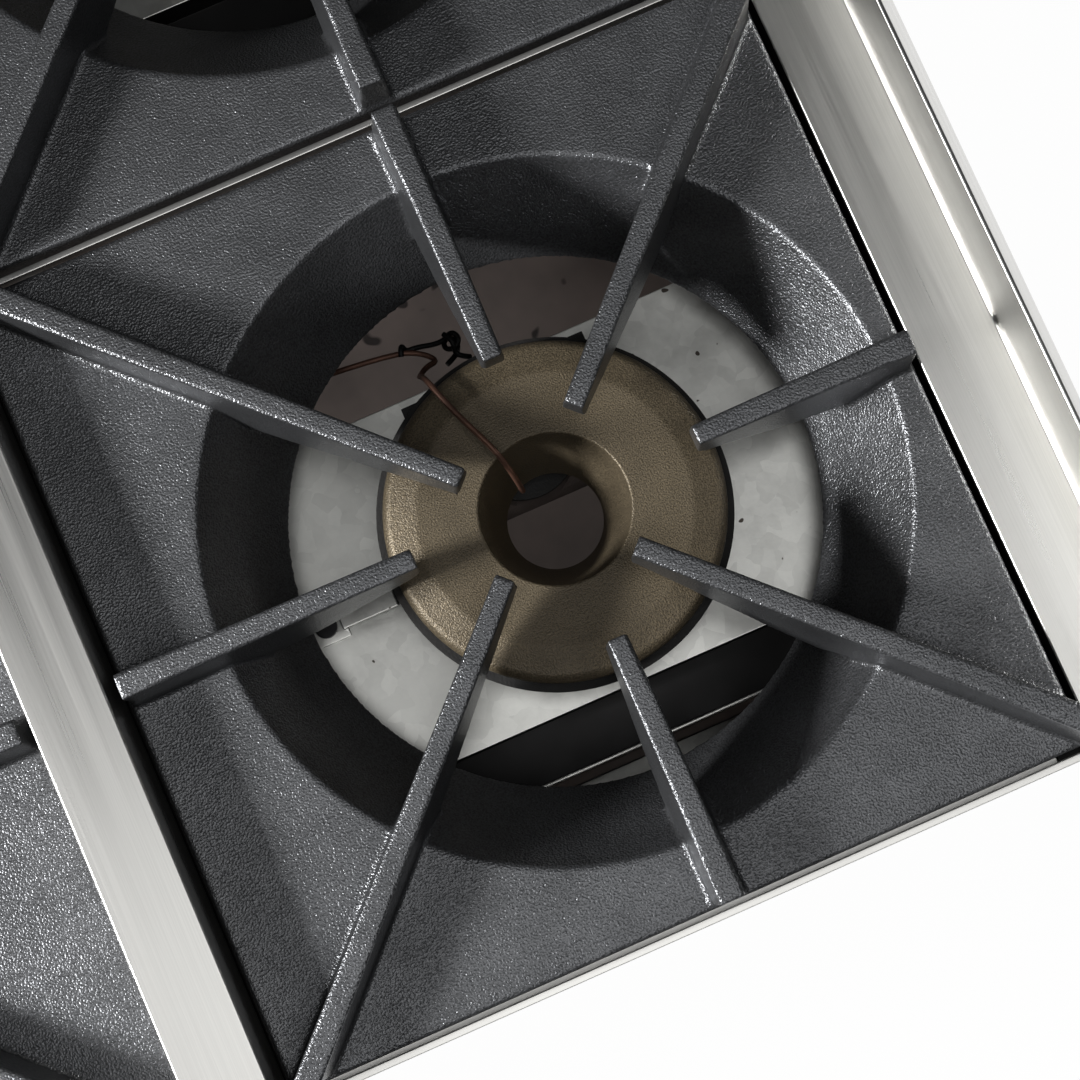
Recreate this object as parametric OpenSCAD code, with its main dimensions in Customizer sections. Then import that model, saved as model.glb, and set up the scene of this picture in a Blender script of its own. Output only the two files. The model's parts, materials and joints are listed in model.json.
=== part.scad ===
// Countertop gas hotplate: four cast iron bowl grates over open ring burners.
// The origin lies on the counter, under the middle of the outer box.
// X runs to the right of a cook who faces the knobs, Y to the back and Z up.

/* [Grates] */
// Width of a grate plate across the body
grate_w = 248.5; // [244:0.5:254]
// Depth of a grate plate from front to back
grate_d = 250; // [244:0.5:256]
// Height of the arm tops above the plate
arm_h = 20; // [15:0.5:24]
// Thickness of the plate and of the bowl wall
cast_t = 5; // [4:0.5:6]
// Height of the skirt under the edge of the plate
skirt_h = 12; // [11:0.5:16]
// Plate left between the bowl's rim and the nearer long edge
rim_margin = 8.05; // [6:0.05:14]
// Radius of the hole at the foot of the bowl
hole_r = 80.8; // [76:0.1:86]
// Depth of the bowl below the plate
bowl_h = 31.2; // [27:0.1:34]
// Distance of the bowl from the middle of the plate, towards the outer side
burner_offset = 11.5; // [8:0.5:12.5]
// Distance from the bowl centre at which the corner arms would meet, towards the inner side
arm_meet = 6.5; // [4:0.1:9]
// Width of an arm on top, at its tip
arm_tip_w = 5.9; // [5:0.1:7]
// Width of an arm on top, at the plate edge
arm_root_w = 7.6; // [7:0.1:9]
// Draft on each side of an arm, from top to foot
arm_draft = 1.2; // [0.5:0.1:1.6]
// Height of the free end of an arm
arm_tip_h = 12; // [9:0.5:13]
// Distance of the side arm tips from the bowl centre
side_tip_r = 43.6; // [38:0.1:50]
// Distance of the corner arm tips from the bowl centre
corner_tip_r = 26.9; // [24:0.1:34]

/* [Burners] */
// Radius of the burner head
head_r = 51.4; // [48:0.1:53]
// Depth of the burner head below the plate
head_drop = 7.5; // [6:0.5:10]
// Thickness of the burner head at its rim
head_t = 8.5; // [7:0.5:9.5]
// Radius of the funnel at the top of the head
funnel_r = 22.7; // [20:0.1:24.5]
// Radius of the throat through the burner
throat_r = 14.8; // [13:0.1:16]
// Height of the funnel from the throat to the top
funnel_h = 30.5; // [27:0.1:33]
// Height of the flame slit under the head
slit_h = 2.5; // [2:0.1:3]
// Depth of the shelf top below the plate
shelf_drop = 46; // [44:0.5:50]
// Width of a burner shelf, front to back
shelf_w = 109.5; // [106:0.5:116]
// Width of the lower step behind a burner shelf
step_w = 18.5; // [14:0.5:24]
// Outer radius of the mixer tube
mixer_r = 18; // [15:0.5:18.5]
// Length of the mixer tube from the burner axis to its mouth
mixer_l = 104; // [98:1:110]

/* [Body] */
// Height of the body from the legs to the plates
body_h = 214; // [208:1:240]
// Thickness of the stainless outer sheet
sheet = 1.5; // [1.2:0.1:2]
// Thickness of the inner folded sheet
inner_t = 1.2; // [1:0.1:1.5]
// Width of the divider between the two columns
divider_w = 22.6; // [21:0.1:28]
// Gap at each side of a grate
side_gap = 2.8; // [1.8:0.1:3.5]
// Gap between the front and the rear grates
row_gap = 5.2; // [4.5:0.1:7]
// Width of the bar in the row gap
row_bar_w = 1.9; // [1.5:0.1:2.5]
// Gap behind the rear grates
rear_gap = 1.5; // [1:0.1:3]
// Width of the rail along the rear edge
rear_rail = 2.3; // [2:0.1:4]
// Gap in front of the front grates
front_gap = 2; // [1:0.1:3]
// Depth of the front ledge with its bullnose
ledge_d = 99; // [90:0.5:120]
// Radius of the bullnose
bull_r = 22; // [16:0.5:26]
// Distance of the control panel behind the bullnose front
panel_set = 46; // [44:1:50]
// Width of the flat strip beside the grates
strip_w = 24.8; // [22:0.1:32]
// Width of the side guard at its foot
guard_w = 14.8; // [11:0.1:18]
// Depth of the outer edge of the side guard below the plates
guard_drop = 8; // [4:0.5:12]
// Height of the side guard at the front ledge
guard_front_h = 27.5; // [20:0.5:34]
// Height of the side guard at the back
guard_rear_h = 35.5; // [28:0.5:60]
// Width of the ledges that carry the grates
rest_w = 10.5; // [9:0.5:12]
// Width of a vent in the rear panel
vent_w = 28; // [20:1:34]
// Distance from one vent to the next
vent_pitch = 40; // [36:1:44]
// Vents on each side of the middle one
vents = 5; // [2:1:5]
// Length of an air slot in the bottom pan
slot_w = 80; // [40:5:110]
// Radius of the panel screws
panel_screw_r = 2; // [1.5:0.1:2.5]
// Radius of the screws in the burner shelves
shelf_screw_r = 2; // [1.5:0.1:2.5]

/* [Controls] */
// Radius of a knob
knob_r = 21; // [17:0.5:24]
// Length of a knob along its axis
knob_l = 27; // [22:0.5:30]
// Distance of the two knobs of a column from each other
knob_pitch = 90; // [70:1:110]
// Depth of the knob axes below the plates
knob_drop = 94; // [90:1:100]
// Radius of a valve stem
stem_r = 4; // [3:0.1:5]
// Radial clearance of the stem in its valve and of the knob on the stem
run_gap = 0.05; // [0.02:0.01:0.1]

/* [Gas line] */
// Outer radius of the manifold and inlet pipe
pipe_r = 13.35; // [10:0.05:14]
// Wall of the manifold and inlet pipe
pipe_wall = 2.9; // [2:0.1:3.5]
// Length of the inlet pipe behind the rear panel
inlet_stub = 25; // [18:1:40]
// Radius of a feed tube
feed_r = 4.75; // [3:0.05:5]
// Radius of a pilot tube
pilot_r = 0.9; // [0.7:0.1:1.2]
// Radius of the wire that is twisted round the pilot tubes
tie_r = 0.6; // [0.5:0.1:0.8]
// Radius over the thread at the end of the inlet pipe
thread_r = 13.1; // [9:0.05:13.15]
// Length of that thread
thread_l = 20; // [14:1:20]
// Width of the groove where the thread runs out
runout_w = 3; // [2:0.5:4]
// Radius of a valve nipple in the manifold
nipple_r = 5; // [4:0.5:6]

/* [Drip tray] */
// Height of the tray opening above the bottom pan
tray_gap_h = 62; // [56:1:68]
// Depth of the tray
tray_h = 38; // [30:1:42]
// Width of the rolled lip on the tray
tray_lip = 3; // [2:0.5:4]
// Distance of the tray back behind the rear burner centres
tray_back = 75; // [70:1:90]
// Length of the grip along the tray's front
grip_w = 220; // [160:10:400]
// Reach of the grip in front of the tray
grip_d = 20; // [16:1:24]

/* [Legs] */
// Height of the legs with their feet
leg_h = 102; // [95:1:130]
// Radius of a leg
leg_r = 19; // [15:0.5:22]
// Radius of a foot
foot_r = 17; // [13:0.5:22]
// Height of a foot
foot_h = 12; // [8:0.5:16]
// Radius of the threaded stud of a foot
stud_r = 8; // [6:0.5:9]
// Distance of the leg axes from the body sides
leg_inset = 45; // [40:1:60]

/* [Hidden] */
$fn = 64;

// A row is 0 at the front and 1 at the rear, a column is -1 on the left, 1 on the right
FRONT = 0;
REAR = 1;
LEFT = -1;
RIGHT = 1;
// A small overlap that keeps joined solids in one piece
eps = 0.01;
// Clearance of pieces that lie against a moving piece
touch = 0.3;

// Height of the plates above the counter
plate_z = leg_h + body_h;
// Places across the width, from the body centre
divider_x = divider_w / 2;
grate_x = divider_x + side_gap + grate_w / 2;
burner_x = grate_x + burner_offset;
rim_r = grate_w / 2 - burner_offset - rim_margin;
strip_x = divider_x + 2 * side_gap + grate_w;
wall_x = strip_x + strip_w;
body_x = wall_x + guard_w;
inside_x = body_x - sheet;
// Places along the depth
body_d = ledge_d + front_gap + 2 * grate_d + row_gap + rear_gap + rear_rail;
rear_y = (body_d - inlet_stub) / 2;
front_y = rear_y - body_d;
ledge_y = front_y + ledge_d;
panel_y = front_y + panel_set;
rear_grate_y = rear_y - rear_rail - rear_gap - grate_d / 2;
front_grate_y = rear_grate_y - grate_d - row_gap;
grate_y = [front_grate_y, rear_grate_y];
row_y = (front_grate_y + rear_grate_y) / 2;
// Ledges that carry the grates
rest_z = -skirt_h;
// Shelf, burner and gas line levels, from the plate
shelf_z = -shelf_drop;
head_z = -head_drop;
slit_z = head_z - head_t;
mixer_z = shelf_z - inner_t - mixer_r - 4.8;
mixer_y = -28;
strap_screw_x = head_r + 26.2;
guard_foot_z = plate_z - guard_drop - 2;
manifold_y = panel_y + 49.5;
manifold_z = plate_z - knob_drop;
inlet_x = inside_x - pipe_r - 26;
knob_x = [burner_x - knob_pitch / 2, burner_x + knob_pitch / 2];
// Drip tray levels above the counter
runner_h = 8;
runner_w = 6;
tray_z = leg_h + inner_t + runner_h + touch;
tray_head_z = leg_h + inner_t + tray_gap_h;
tray_x = inside_x - 9;
tray_rear_y = rear_grate_y + tray_back;
// Places of the screws in the front and rear panels
rear_screw_x = [-inside_x + 12, inside_x - 12];
rear_screw_z = [leg_h + 12, plate_z - 40];
front_screw_x = [-inside_x + 12, inside_x - 12];
front_screw_z = [tray_head_z + 12, plate_z - 2 * bull_r - 10];

// Route of the front feed tube from the valve top, in the column's own frame: X to
// the body centre from the body centre line, Y and Z from the body frame
feed_front = [[-knob_x[FRONT], manifold_y - 26, manifold_z + 6],
    [-knob_x[FRONT], manifold_y - 26, manifold_z + 30],
    [-knob_x[FRONT], manifold_y + 6, manifold_z + 30], [-24, manifold_y + 60, manifold_z + 26],
    [-24, front_grate_y + mixer_y, plate_z + mixer_z], [-38, front_grate_y + mixer_y, plate_z + mixer_z]];
// Route of the rear feed tube, which dives under the front one
feed_rear = [[-knob_x[REAR], manifold_y - 26, manifold_z + 6],
    [-knob_x[REAR], manifold_y - 26, manifold_z + 30],
    [-knob_x[REAR], manifold_y + 24, manifold_z + 30], [-knob_x[REAR], manifold_y + 30, manifold_z - 14],
    [-24, manifold_y + 46, manifold_z - 14], [-24, rear_grate_y - 80, manifold_z - 14],
    [-24, rear_grate_y - 50, plate_z + mixer_z], [-22, rear_grate_y + mixer_y, plate_z + mixer_z],
    [-38, rear_grate_y + mixer_y, plate_z + mixer_z]];
// Route of a pilot tube near the burner, from the burner centre on the plate
pilot_end = [[56, -72, -52], [50, -71, -41], [24, -68, -40], [17, -65, -40], [13, -60.5, -39],
    [17.5, -59.5, -36], [20.5, -56.4, -30], [20.6, -54, -18], [19.8, -50.8, -4.5], [18.2, -44.5, -0.9],
    [15.3, -36, -1.2], [9.7, -22.7, -0.9], [8, -17, -4.2], [6.8, -12.4, -11], [6.2, -10, -18]];
// Route of the wire that is twisted round a pilot tube, and of its short second end
tie_path = [[23, -66.2, -38.9], [22.4, -68, -38.2], [21.6, -69.6, -40], [21, -67.6, -41.9],
    [18, -67.6, -41.6], [12, -65.8, -40.2], [8.8, -65.6, -39], [5.8, -67, -37.4], [4.2, -64, -36.4],
    [6.8, -61.2, -36.6], [10, -63, -38.6], [8.4, -66.6, -41], [5, -64.6, -40.6], [6.4, -60.4, -39.6],
    [11, -58, -38]];
tie_end = [[8.4, -67, -36.8], [6.6, -63.6, -35], [7.4, -60, -37.6], [5.2, -58.2, -37.4], [3.6, -57, -36]];
// Start of the pilot tubes on top of the manifold, from the body centre
pilot_tap_x = [52, 58];
// Height of the pilot runs above the counter
pilot_run_z = plate_z - 100;

function unit(v) = v / norm(v);
// One round of corner cutting, which turns a corner into a smooth bend
function soften(p, n) = n == 0 ? p : soften([for (i = [0:len(p) - 1], k = [0, 1])
    i == 0 ? (k == 0 ? p[0] : p[0] * 0.75 + p[1] * 0.25)
    : i == len(p) - 1 ? (k == 0 ? p[i] * 0.75 + p[i - 1] * 0.25 : p[i])
    : k == 0 ? p[i] * 0.75 + p[i - 1] * 0.25 : p[i] * 0.75 + p[i + 1] * 0.25], n - 1);
// Directions along a path, and normals carried along it without a twist
function heads(p) = [for (i = [0:len(p) - 1])
    unit(p[min(i + 1, len(p) - 1)] - p[max(i - 1, 0)])];
function carried(t, i, n) = i == len(t) ? []
    : let (m = n - (n * t[i]) * t[i], u = unit(m)) concat([u], carried(t, i + 1, u));
function any_normal(t) = abs(t[2]) < 0.9 ? cross(t, [0, 0, 1]) : cross(t, [1, 0, 0]);

// A round tube or wire along a path
module sweep(path, r, sides = 8) {
    t = heads(path);
    n = carried(t, 0, unit(any_normal(t[0])));
    last = len(path) - 1;
    points = [for (i = [0:last], a = [0:sides - 1])
        let (w = a * 360 / sides) path[i] + r * (cos(w) * n[i] + sin(w) * cross(t[i], n[i]))];
    walls = [for (i = [0:last - 1], a = [0:sides - 1])
        let (b = (a + 1) % sides) [i * sides + a, (i + 1) * sides + a,
            (i + 1) * sides + b, i * sides + b]];
    triangles = [for (w = walls, k = [0, 1])
        k == 0 ? [w[0], w[1], w[2]] : [w[0], w[2], w[3]]];
    first_cap = [for (a = [1:sides - 2]) [0, a, a + 1]];
    last_cap = [for (a = [1:sides - 2])
        [last * sides, last * sides + a + 1, last * sides + a]];
    polyhedron(points, concat(triangles, first_cap, last_cap));
}

// A bar lofted along X through flat-topped sections:
// each is [distance, half width on top, half width below, top, bottom]
module loft(s) {
    last = len(s) - 1;
    points = [for (i = [0:last]) each [[s[i][0], -s[i][2], s[i][4]], [s[i][0], s[i][2], s[i][4]],
        [s[i][0], s[i][1], s[i][3]], [s[i][0], -s[i][1], s[i][3]]]];
    walls = [for (i = [0:last - 1], a = [0:3])
        let (b = (a + 1) % 4) [4 * i + a, 4 * i + 4 + a, 4 * i + 4 + b, 4 * i + b]];
    triangles = [for (w = walls, k = [0, 1])
        k == 0 ? [w[0], w[1], w[2]] : [w[0], w[2], w[3]]];
    polyhedron(points, concat(triangles, [[0, 1, 2], [0, 2, 3]],
        [[4 * last, 4 * last + 2, 4 * last + 1], [4 * last, 4 * last + 3, 4 * last + 2]]));
}

// Puts a left column piece in place, mirrored for the right column
module in_column(col) {
    mirror([col == RIGHT ? 1 : 0, 0, 0]) children();
}

// Puts a piece at a burner: its X points to the body centre, its Z is from the plate
module at_burner(row, col) {
    in_column(col) translate([-burner_x, grate_y[row], plate_z]) children();
}

// Both columns, or all four burners
module both_columns() {
    for (col = [LEFT, RIGHT]) in_column(col) children();
}
module all_burners() {
    for (row = [FRONT, REAR], col = [LEFT, RIGHT]) at_burner(row, col) children();
}

// A box from its lowest to its highest corner
module block(low, high) {
    translate(low) cube(high - low);
}

// The square of a plate, drawn in the burner's own frame
module plate_square(inset, low, high) {
    half_w = grate_w / 2 - inset;
    half_d = grate_d / 2 - inset;
    block([burner_offset - half_w, -half_d, low], [burner_offset + half_w, half_d, high]);
}

// One arm along X: the tip hangs over the hole, the root stands on the plate
module arm(tip, root) {
    width = function (d) arm_tip_w + (arm_root_w - arm_tip_w) * (d - tip) / (root - tip);
    section = function (d, low) [d, width(d) / 2,
        width(d) / 2 + arm_draft * (arm_h - low) / arm_h, arm_h, low];
    loft([section(tip, arm_h - arm_tip_h), section(hole_r - 4, -10),
        section(hole_r + 11, -14), section(rim_r + 2, -cast_t + 1), section(root, -cast_t + 1)]);
}

module grate(row, col) {
    reach_in = grate_w / 2 + burner_offset;
    reach_out = grate_w / 2 - burner_offset;
    half = grate_d / 2;
    color("dimgray") at_burner(row, col) {
        difference() {
            union() {
                difference() {
                    plate_square(0, rest_z, 0);
                    plate_square(cast_t, rest_z - 1, -cast_t);
                }
                rotate_extrude($fn = 96) polygon([[hole_r, -bowl_h], [hole_r + 5, -bowl_h - 1.5],
                    [rim_r + 2.5, -cast_t - 2], [rim_r + 2.5, -1], [hole_r, -1]]);
            }
            translate([0, 0, -bowl_h])
                cylinder(h = bowl_h + eps, r1 = hole_r, r2 = rim_r, $fn = 96);
            translate([0, 0, -bowl_h - 5]) cylinder(h = 10, r = hole_r, $fn = 96);
        }
        intersection() {
            union() {
                arm(side_tip_r, reach_in);
                rotate(180) arm(side_tip_r, reach_out);
                for (side = [-90, 90]) rotate(side) arm(side_tip_r, half);
                for (a = [-45, 45, -135, 135]) translate([arm_meet, 0, 0]) rotate(a)
                    arm(corner_start(a), (abs(a) > 90 ? reach_out : reach_in) * sqrt(2) + 12);
            }
            plate_square(1.2, -bowl_h, arm_h + 1);
        }
    }
}
// Distance from the point where the corner arms would meet to the tip of the one at an angle
function corner_start(a) = sqrt(corner_tip_r ^ 2 - (arm_meet * sin(a)) ^ 2) - arm_meet * cos(a);

// Cap of the ring burner: a disc with a funnel for the air in its middle
module burner_head(row, col) {
    wall = 4.3;
    color("#6b5d4a") at_burner(row, col) rotate_extrude($fn = 96) polygon([
        [funnel_r, head_z], [head_r - 2, head_z - 0.6], [head_r, head_z - 2.4],
        [head_r - 0.8, slit_z], [head_r - 7, slit_z], [head_r - 8, head_z - 5.2],
        [funnel_r + wall + 1, head_z - 5.2], [throat_r + wall, head_z - funnel_h + 8],
        [throat_r + wall, head_z - funnel_h], [throat_r, head_z - funnel_h]]);
}

// Lower casting: ring channel, inlet box, mixer tube and the lug for its strap
module burner_body(row, col) {
    lip_z = slit_z - slit_h;
    bore = throat_r + 4.3 + run_gap;
    lip_r = head_r + 2.2;
    box_w = 59.6;
    box_y = 48;
    wall = 4;
    color("#5d5347") at_burner(row, col) {
        difference() {
            union() {
                difference() {
                    union() {
                        translate([0, 0, shelf_z])
                            cylinder(h = lip_z - shelf_z, r1 = lip_r - 5, r2 = lip_r, $fn = 96);
                        block([-box_w / 2, -box_y, shelf_z], [box_w / 2, 0, lip_z - 3]);
                    }
                    translate([0, 0, shelf_z + wall])
                        cylinder(h = 40, r1 = lip_r - 5 - wall, r2 = lip_r + 3 - wall, $fn = 96);
                }
                translate([0, 0, shelf_z])
                    cylinder(h = shelf_drop - head_drop - funnel_h + 7.5, r = bore + wall);
                for (a = [60, 180, 300]) rotate(a)
                    block([head_r - 6.5, -4, shelf_z + wall - 1], [head_r - 1.5, 4, slit_z]);
                translate([0, mixer_y, mixer_z]) cylinder(h = shelf_z - mixer_z + wall, r = mixer_r);
                translate([-mixer_r - 2, mixer_y, mixer_z])
                    rotate([0, 90, 0]) cylinder(h = mixer_l + mixer_r + 2, r = mixer_r);
                translate([mixer_l - 3, mixer_y, mixer_z])
                    rotate([0, 90, 0]) cylinder(h = 3, r = mixer_r + 3);
                block([head_r - 6, -2, shelf_z], [head_r + 17, 3.5, shelf_z + 3]);
            }
            translate([0, 0, shelf_z - 1]) cylinder(h = 40, r = bore);
            translate([0, mixer_y, mixer_z]) cylinder(h = 40, r = mixer_r - 10);
            translate([-mixer_r + 2, mixer_y, mixer_z])
                rotate([0, 90, 0]) cylinder(h = mixer_l + mixer_r, r = mixer_r - wall);
        }
    }
}

// Small bridge strap over the lug of a burner, held by one screw
module burner_straps() {
    bridge = head_r + 3;
    bend = strap_screw_x - 4.8;
    color("silver") all_burners() difference() {
        union() {
            block([bridge, -2.5, shelf_z + 3.3], [bend, 4, shelf_z + 4.8]);
            block([bend - 1.5, -2.5, shelf_z], [bend, 4, shelf_z + 4.8]);
            block([bend - 1.5, -4.5, shelf_z], [strap_screw_x + 6, 6.5, shelf_z + 1.5]);
        }
        translate([strap_screw_x, 1, shelf_z - 1]) cylinder(h = 4, r = shelf_screw_r + 0.2);
    }
}

module shelf_screws() {
    color("#222222") all_burners() translate([strap_screw_x, 1, shelf_z]) {
        translate([0, 0, 1.5]) cylinder(h = 2.2, r = 3.6);
        translate([0, 0, -7]) cylinder(h = 8.6, r = shelf_screw_r);
    }
}

// Folded shelf across the body, which carries the two burners of a row
module burner_shelf(row) {
    half = shelf_w / 2;
    flange = 14;
    top = plate_z + shelf_z;
    color("#a8a8a4") difference() {
        translate([0, grate_y[row], 0]) {
            block([-inside_x, -half, top - inner_t], [inside_x, half, top]);
            for (side = [-1, 1]) translate([0, side * (half - inner_t / 2), 0])
                block([-inside_x, -inner_t / 2, top - flange], [inside_x, inner_t / 2, top]);
            block([-inside_x, half - inner_t, top - flange],
                [inside_x, half + step_w, top - flange + inner_t]);
            block([-inside_x, half + step_w - inner_t, top - flange],
                [inside_x, half + step_w, top - flange + 4]);
            for (side = [-1, 1]) translate([side * (inside_x - inner_t / 2), 0, 0])
                block([-inner_t / 2, -half, top - 20], [inner_t / 2, half, top]);
        }
        for (col = [LEFT, RIGHT]) at_burner(row, col) {
            translate([0, 0, shelf_z - 5]) cylinder(h = 10, r = throat_r + 9);
            translate([0, mixer_y, shelf_z - 5]) cylinder(h = 10, r = mixer_r + 1);
            translate([strap_screw_x, 1, shelf_z - 5]) cylinder(h = 10, r = shelf_screw_r + 0.1);
        }
    }
}

// Channel under the middle of the shelves
module centre_support() {
    top = plate_z + shelf_z - 14;
    half = 15;
    color("#a8a8a4") {
        block([-half, panel_y + sheet, top - inner_t], [half, rear_y - sheet, top]);
        for (side = [-1, 1]) translate([side * (half - inner_t / 2), 0, 0])
            block([-inner_t / 2, panel_y + sheet, top - 16], [inner_t / 2, rear_y - sheet, top]);
    }
}

// Raised channel between the columns, with a ledge on each side
module column_divider() {
    low = plate_z + rest_z;
    back = rear_y - rear_rail;
    color("lightgray") {
        block([-divider_x, ledge_y, plate_z + arm_h - inner_t], [divider_x, back, plate_z + arm_h]);
        for (side = [0, 1]) mirror([side, 0, 0]) {
            block([divider_x - inner_t, ledge_y, low - inner_t], [divider_x, back, plate_z + arm_h]);
            block([divider_x - inner_t, ledge_y, low - inner_t], [divider_x + rest_w, back, low]);
        }
        for (y = [ledge_y, back - inner_t])
            block([-divider_x, y, low - inner_t], [divider_x, y + inner_t, plate_z + arm_h]);
    }
}

module row_bars() {
    color("lightgray") both_columns()
        block([-strip_x + touch, row_y - row_bar_w / 2, plate_z + rest_z],
            [-divider_x - touch, row_y + row_bar_w / 2, plate_z - 2]);
}

// Hollow folded guard whose height grows towards the back
module guard_tent(inset) {
    first = ledge_y + inset;
    last = rear_y - inset;
    inner = wall_x + inset;
    outer = body_x - inset;
    low = guard_foot_z - (inset > 0 ? 1 : 0);
    drop = inset > 0 ? 2 * inset : 0;
    edge = inner + (inset > 0 ? 0.3 : 1.5);
    points = [for (end = [0, 1])
        let (y = end == 0 ? first : last,
            top = plate_z + (end == 0 ? guard_front_h : guard_rear_h) - drop)
        each [[inner, y, low], [inner, y, top], [edge, y, top],
            [outer, y, plate_z - guard_drop], [outer, y, low]]];
    walls = [for (a = [0:4]) let (b = (a + 1) % 5) [a, a + 5, b + 5, b]];
    triangles = [for (w = walls, k = [0, 1])
        k == 0 ? [w[0], w[1], w[2]] : [w[0], w[2], w[3]]];
    polyhedron(points, concat(triangles,
        [[0, 1, 2], [0, 2, 3], [0, 3, 4]], [[5, 7, 6], [5, 8, 7], [5, 9, 8]]));
}

// Side strip with its ledge, folded in one piece with the guard
module side_guard(col) {
    low = plate_z + rest_z;
    color("lightgray") mirror([col == LEFT ? 1 : 0, 0, 0]) {
        block([strip_x, ledge_y, plate_z - inner_t], [wall_x + eps, rear_y, plate_z]);
        block([strip_x, ledge_y, low - inner_t], [strip_x + inner_t, rear_y - sheet, plate_z]);
        block([strip_x - rest_w, ledge_y, low - inner_t],
            [strip_x + inner_t, rear_y - sheet, low]);
        difference() {
            guard_tent(0);
            guard_tent(inner_t);
        }
    }
}

module side_panel(col) {
    foot = 14;
    flange = 20;
    color("lightgray") mirror([col == LEFT ? 1 : 0, 0, 0]) {
        block([inside_x, panel_y, leg_h - inner_t], [body_x, rear_y, plate_z - 2 * bull_r]);
        block([inside_x, panel_y + sheet, plate_z - 2 * bull_r - eps],
            [body_x, ledge_y, plate_z - sheet]);
        block([inside_x, ledge_y - eps, plate_z - 2 * bull_r - eps], [body_x, rear_y, guard_foot_z]);
        block([inside_x - foot, panel_y + 60, leg_h - inner_t], [inside_x + eps, rear_y - 60, leg_h]);
        difference() {
            union() {
                block([inside_x - flange, panel_y + sheet, tray_head_z + 4],
                    [inside_x + eps, panel_y + 2 * sheet, plate_z - 2 * bull_r - 2]);
                block([inside_x - flange, rear_y - 2 * sheet, leg_h + inner_t],
                    [inside_x + eps, rear_y - sheet, plate_z - 20]);
            }
            for (z = front_screw_z) translate([inside_x - 12, panel_y, z])
                rotate([90, 0, 0]) cylinder(h = 20, r = panel_screw_r + 0.1, center = true);
            for (z = rear_screw_z) translate([inside_x - 12, rear_y, z])
                rotate([90, 0, 0]) cylinder(h = 20, r = panel_screw_r + 0.1, center = true);
        }
    }
}

module rear_panel() {
    low = plate_z + rest_z;
    color("lightgray") difference() {
        union() {
            block([-inside_x, rear_y - sheet, leg_h - inner_t], [inside_x, rear_y, plate_z - 3]);
            block([-strip_x + touch, rear_y - rear_rail, plate_z - 4],
                [strip_x - touch, rear_y, plate_z - 1]);
            both_columns() block([-strip_x + rest_w + touch, rear_y - sheet - rest_w, low - inner_t],
                [-divider_x - rest_w - touch, rear_y, low]);
        }
        translate([inlet_x, rear_y, manifold_z])
            rotate([90, 0, 0]) cylinder(h = 10, r = pipe_r + 0.4, center = true);
        for (x = rear_screw_x, z = rear_screw_z) translate([x, rear_y, z])
            rotate([90, 0, 0]) cylinder(h = 10, r = panel_screw_r + 0.1, center = true);
        for (side = [0, 1]) mirror([side, 0, 0])
            block([wall_x - touch, rear_y - 5, guard_foot_z], [body_x, rear_y + 5, plate_z + 1]);
        for (k = [-vents:vents]) translate([k * vent_pitch, 0, 0])
            block([-vent_w / 2, rear_y - 5, leg_h + 20], [vent_w / 2, rear_y + 5, leg_h + 26]);
    }
}

module bottom_pan() {
    color("#a8a8a4") difference() {
        union() {
            block([-inside_x, panel_y, leg_h], [inside_x, rear_y - sheet, leg_h + inner_t]);
            both_columns() block([-tray_x + 8, panel_y, leg_h],
                [-tray_x + 8 + runner_w, rear_y - sheet - 20, leg_h + inner_t + runner_h]);
        }
        for (x = [-burner_x, 0, burner_x], y = [front_grate_y, row_y, rear_grate_y])
            block([x - slot_w / 2, y - 4, leg_h - 1], [x + slot_w / 2, y + 4, leg_h + 5]);
    }
}

module control_panel() {
    color("lightgray") difference() {
        union() {
            block([-inside_x, panel_y, tray_head_z], [inside_x, panel_y + sheet, plate_z - 2 * bull_r]);
            block([-inside_x, panel_y, tray_head_z], [inside_x, panel_y + 14, tray_head_z + sheet]);
        }
        for (x = knob_x, col = [LEFT, RIGHT]) translate([col * x, panel_y, manifold_z])
            rotate([90, 0, 0]) cylinder(h = 10, r = stem_r + 2.5, center = true);
        for (x = front_screw_x, z = front_screw_z) translate([x, panel_y, z])
            rotate([90, 0, 0]) cylinder(h = 10, r = panel_screw_r + 0.1, center = true);
    }
}

// Flat ledge with a rolled front, which shields the knobs
module front_ledge() {
    low = plate_z + rest_z;
    nose_y = front_y + bull_r;
    nose_z = plate_z - bull_r;
    color("lightgray") {
        block([-body_x, nose_y, plate_z - sheet], [body_x, ledge_y, plate_z]);
        block([-body_x, nose_y, plate_z - 2 * bull_r],
            [body_x, panel_y + sheet, plate_z - 2 * bull_r + sheet]);
        translate([0, nose_y, nose_z]) rotate([0, 90, 0]) rotate([0, 0, 180])
            rotate_extrude(angle = 180, $fn = 96)
                translate([bull_r - sheet, -body_x]) square([sheet, 2 * body_x]);
        for (side = [0, 1]) mirror([side, 0, 0]) {
            translate([inside_x, nose_y, nose_z]) rotate([0, 90, 0])
                cylinder(h = sheet, r = bull_r - sheet / 2);
            block([inside_x, nose_y, plate_z - 2 * bull_r + sheet / 2],
                [body_x, panel_y + sheet, plate_z - sheet / 2]);
        }
        block([-strip_x + rest_w + touch, ledge_y - sheet, low - inner_t],
            [strip_x - rest_w - touch, ledge_y, plate_z]);
        both_columns() block([-strip_x + rest_w + touch, ledge_y - sheet, low - inner_t],
            [-divider_x - rest_w - touch, ledge_y + rest_w, low]);
    }
}

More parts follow.
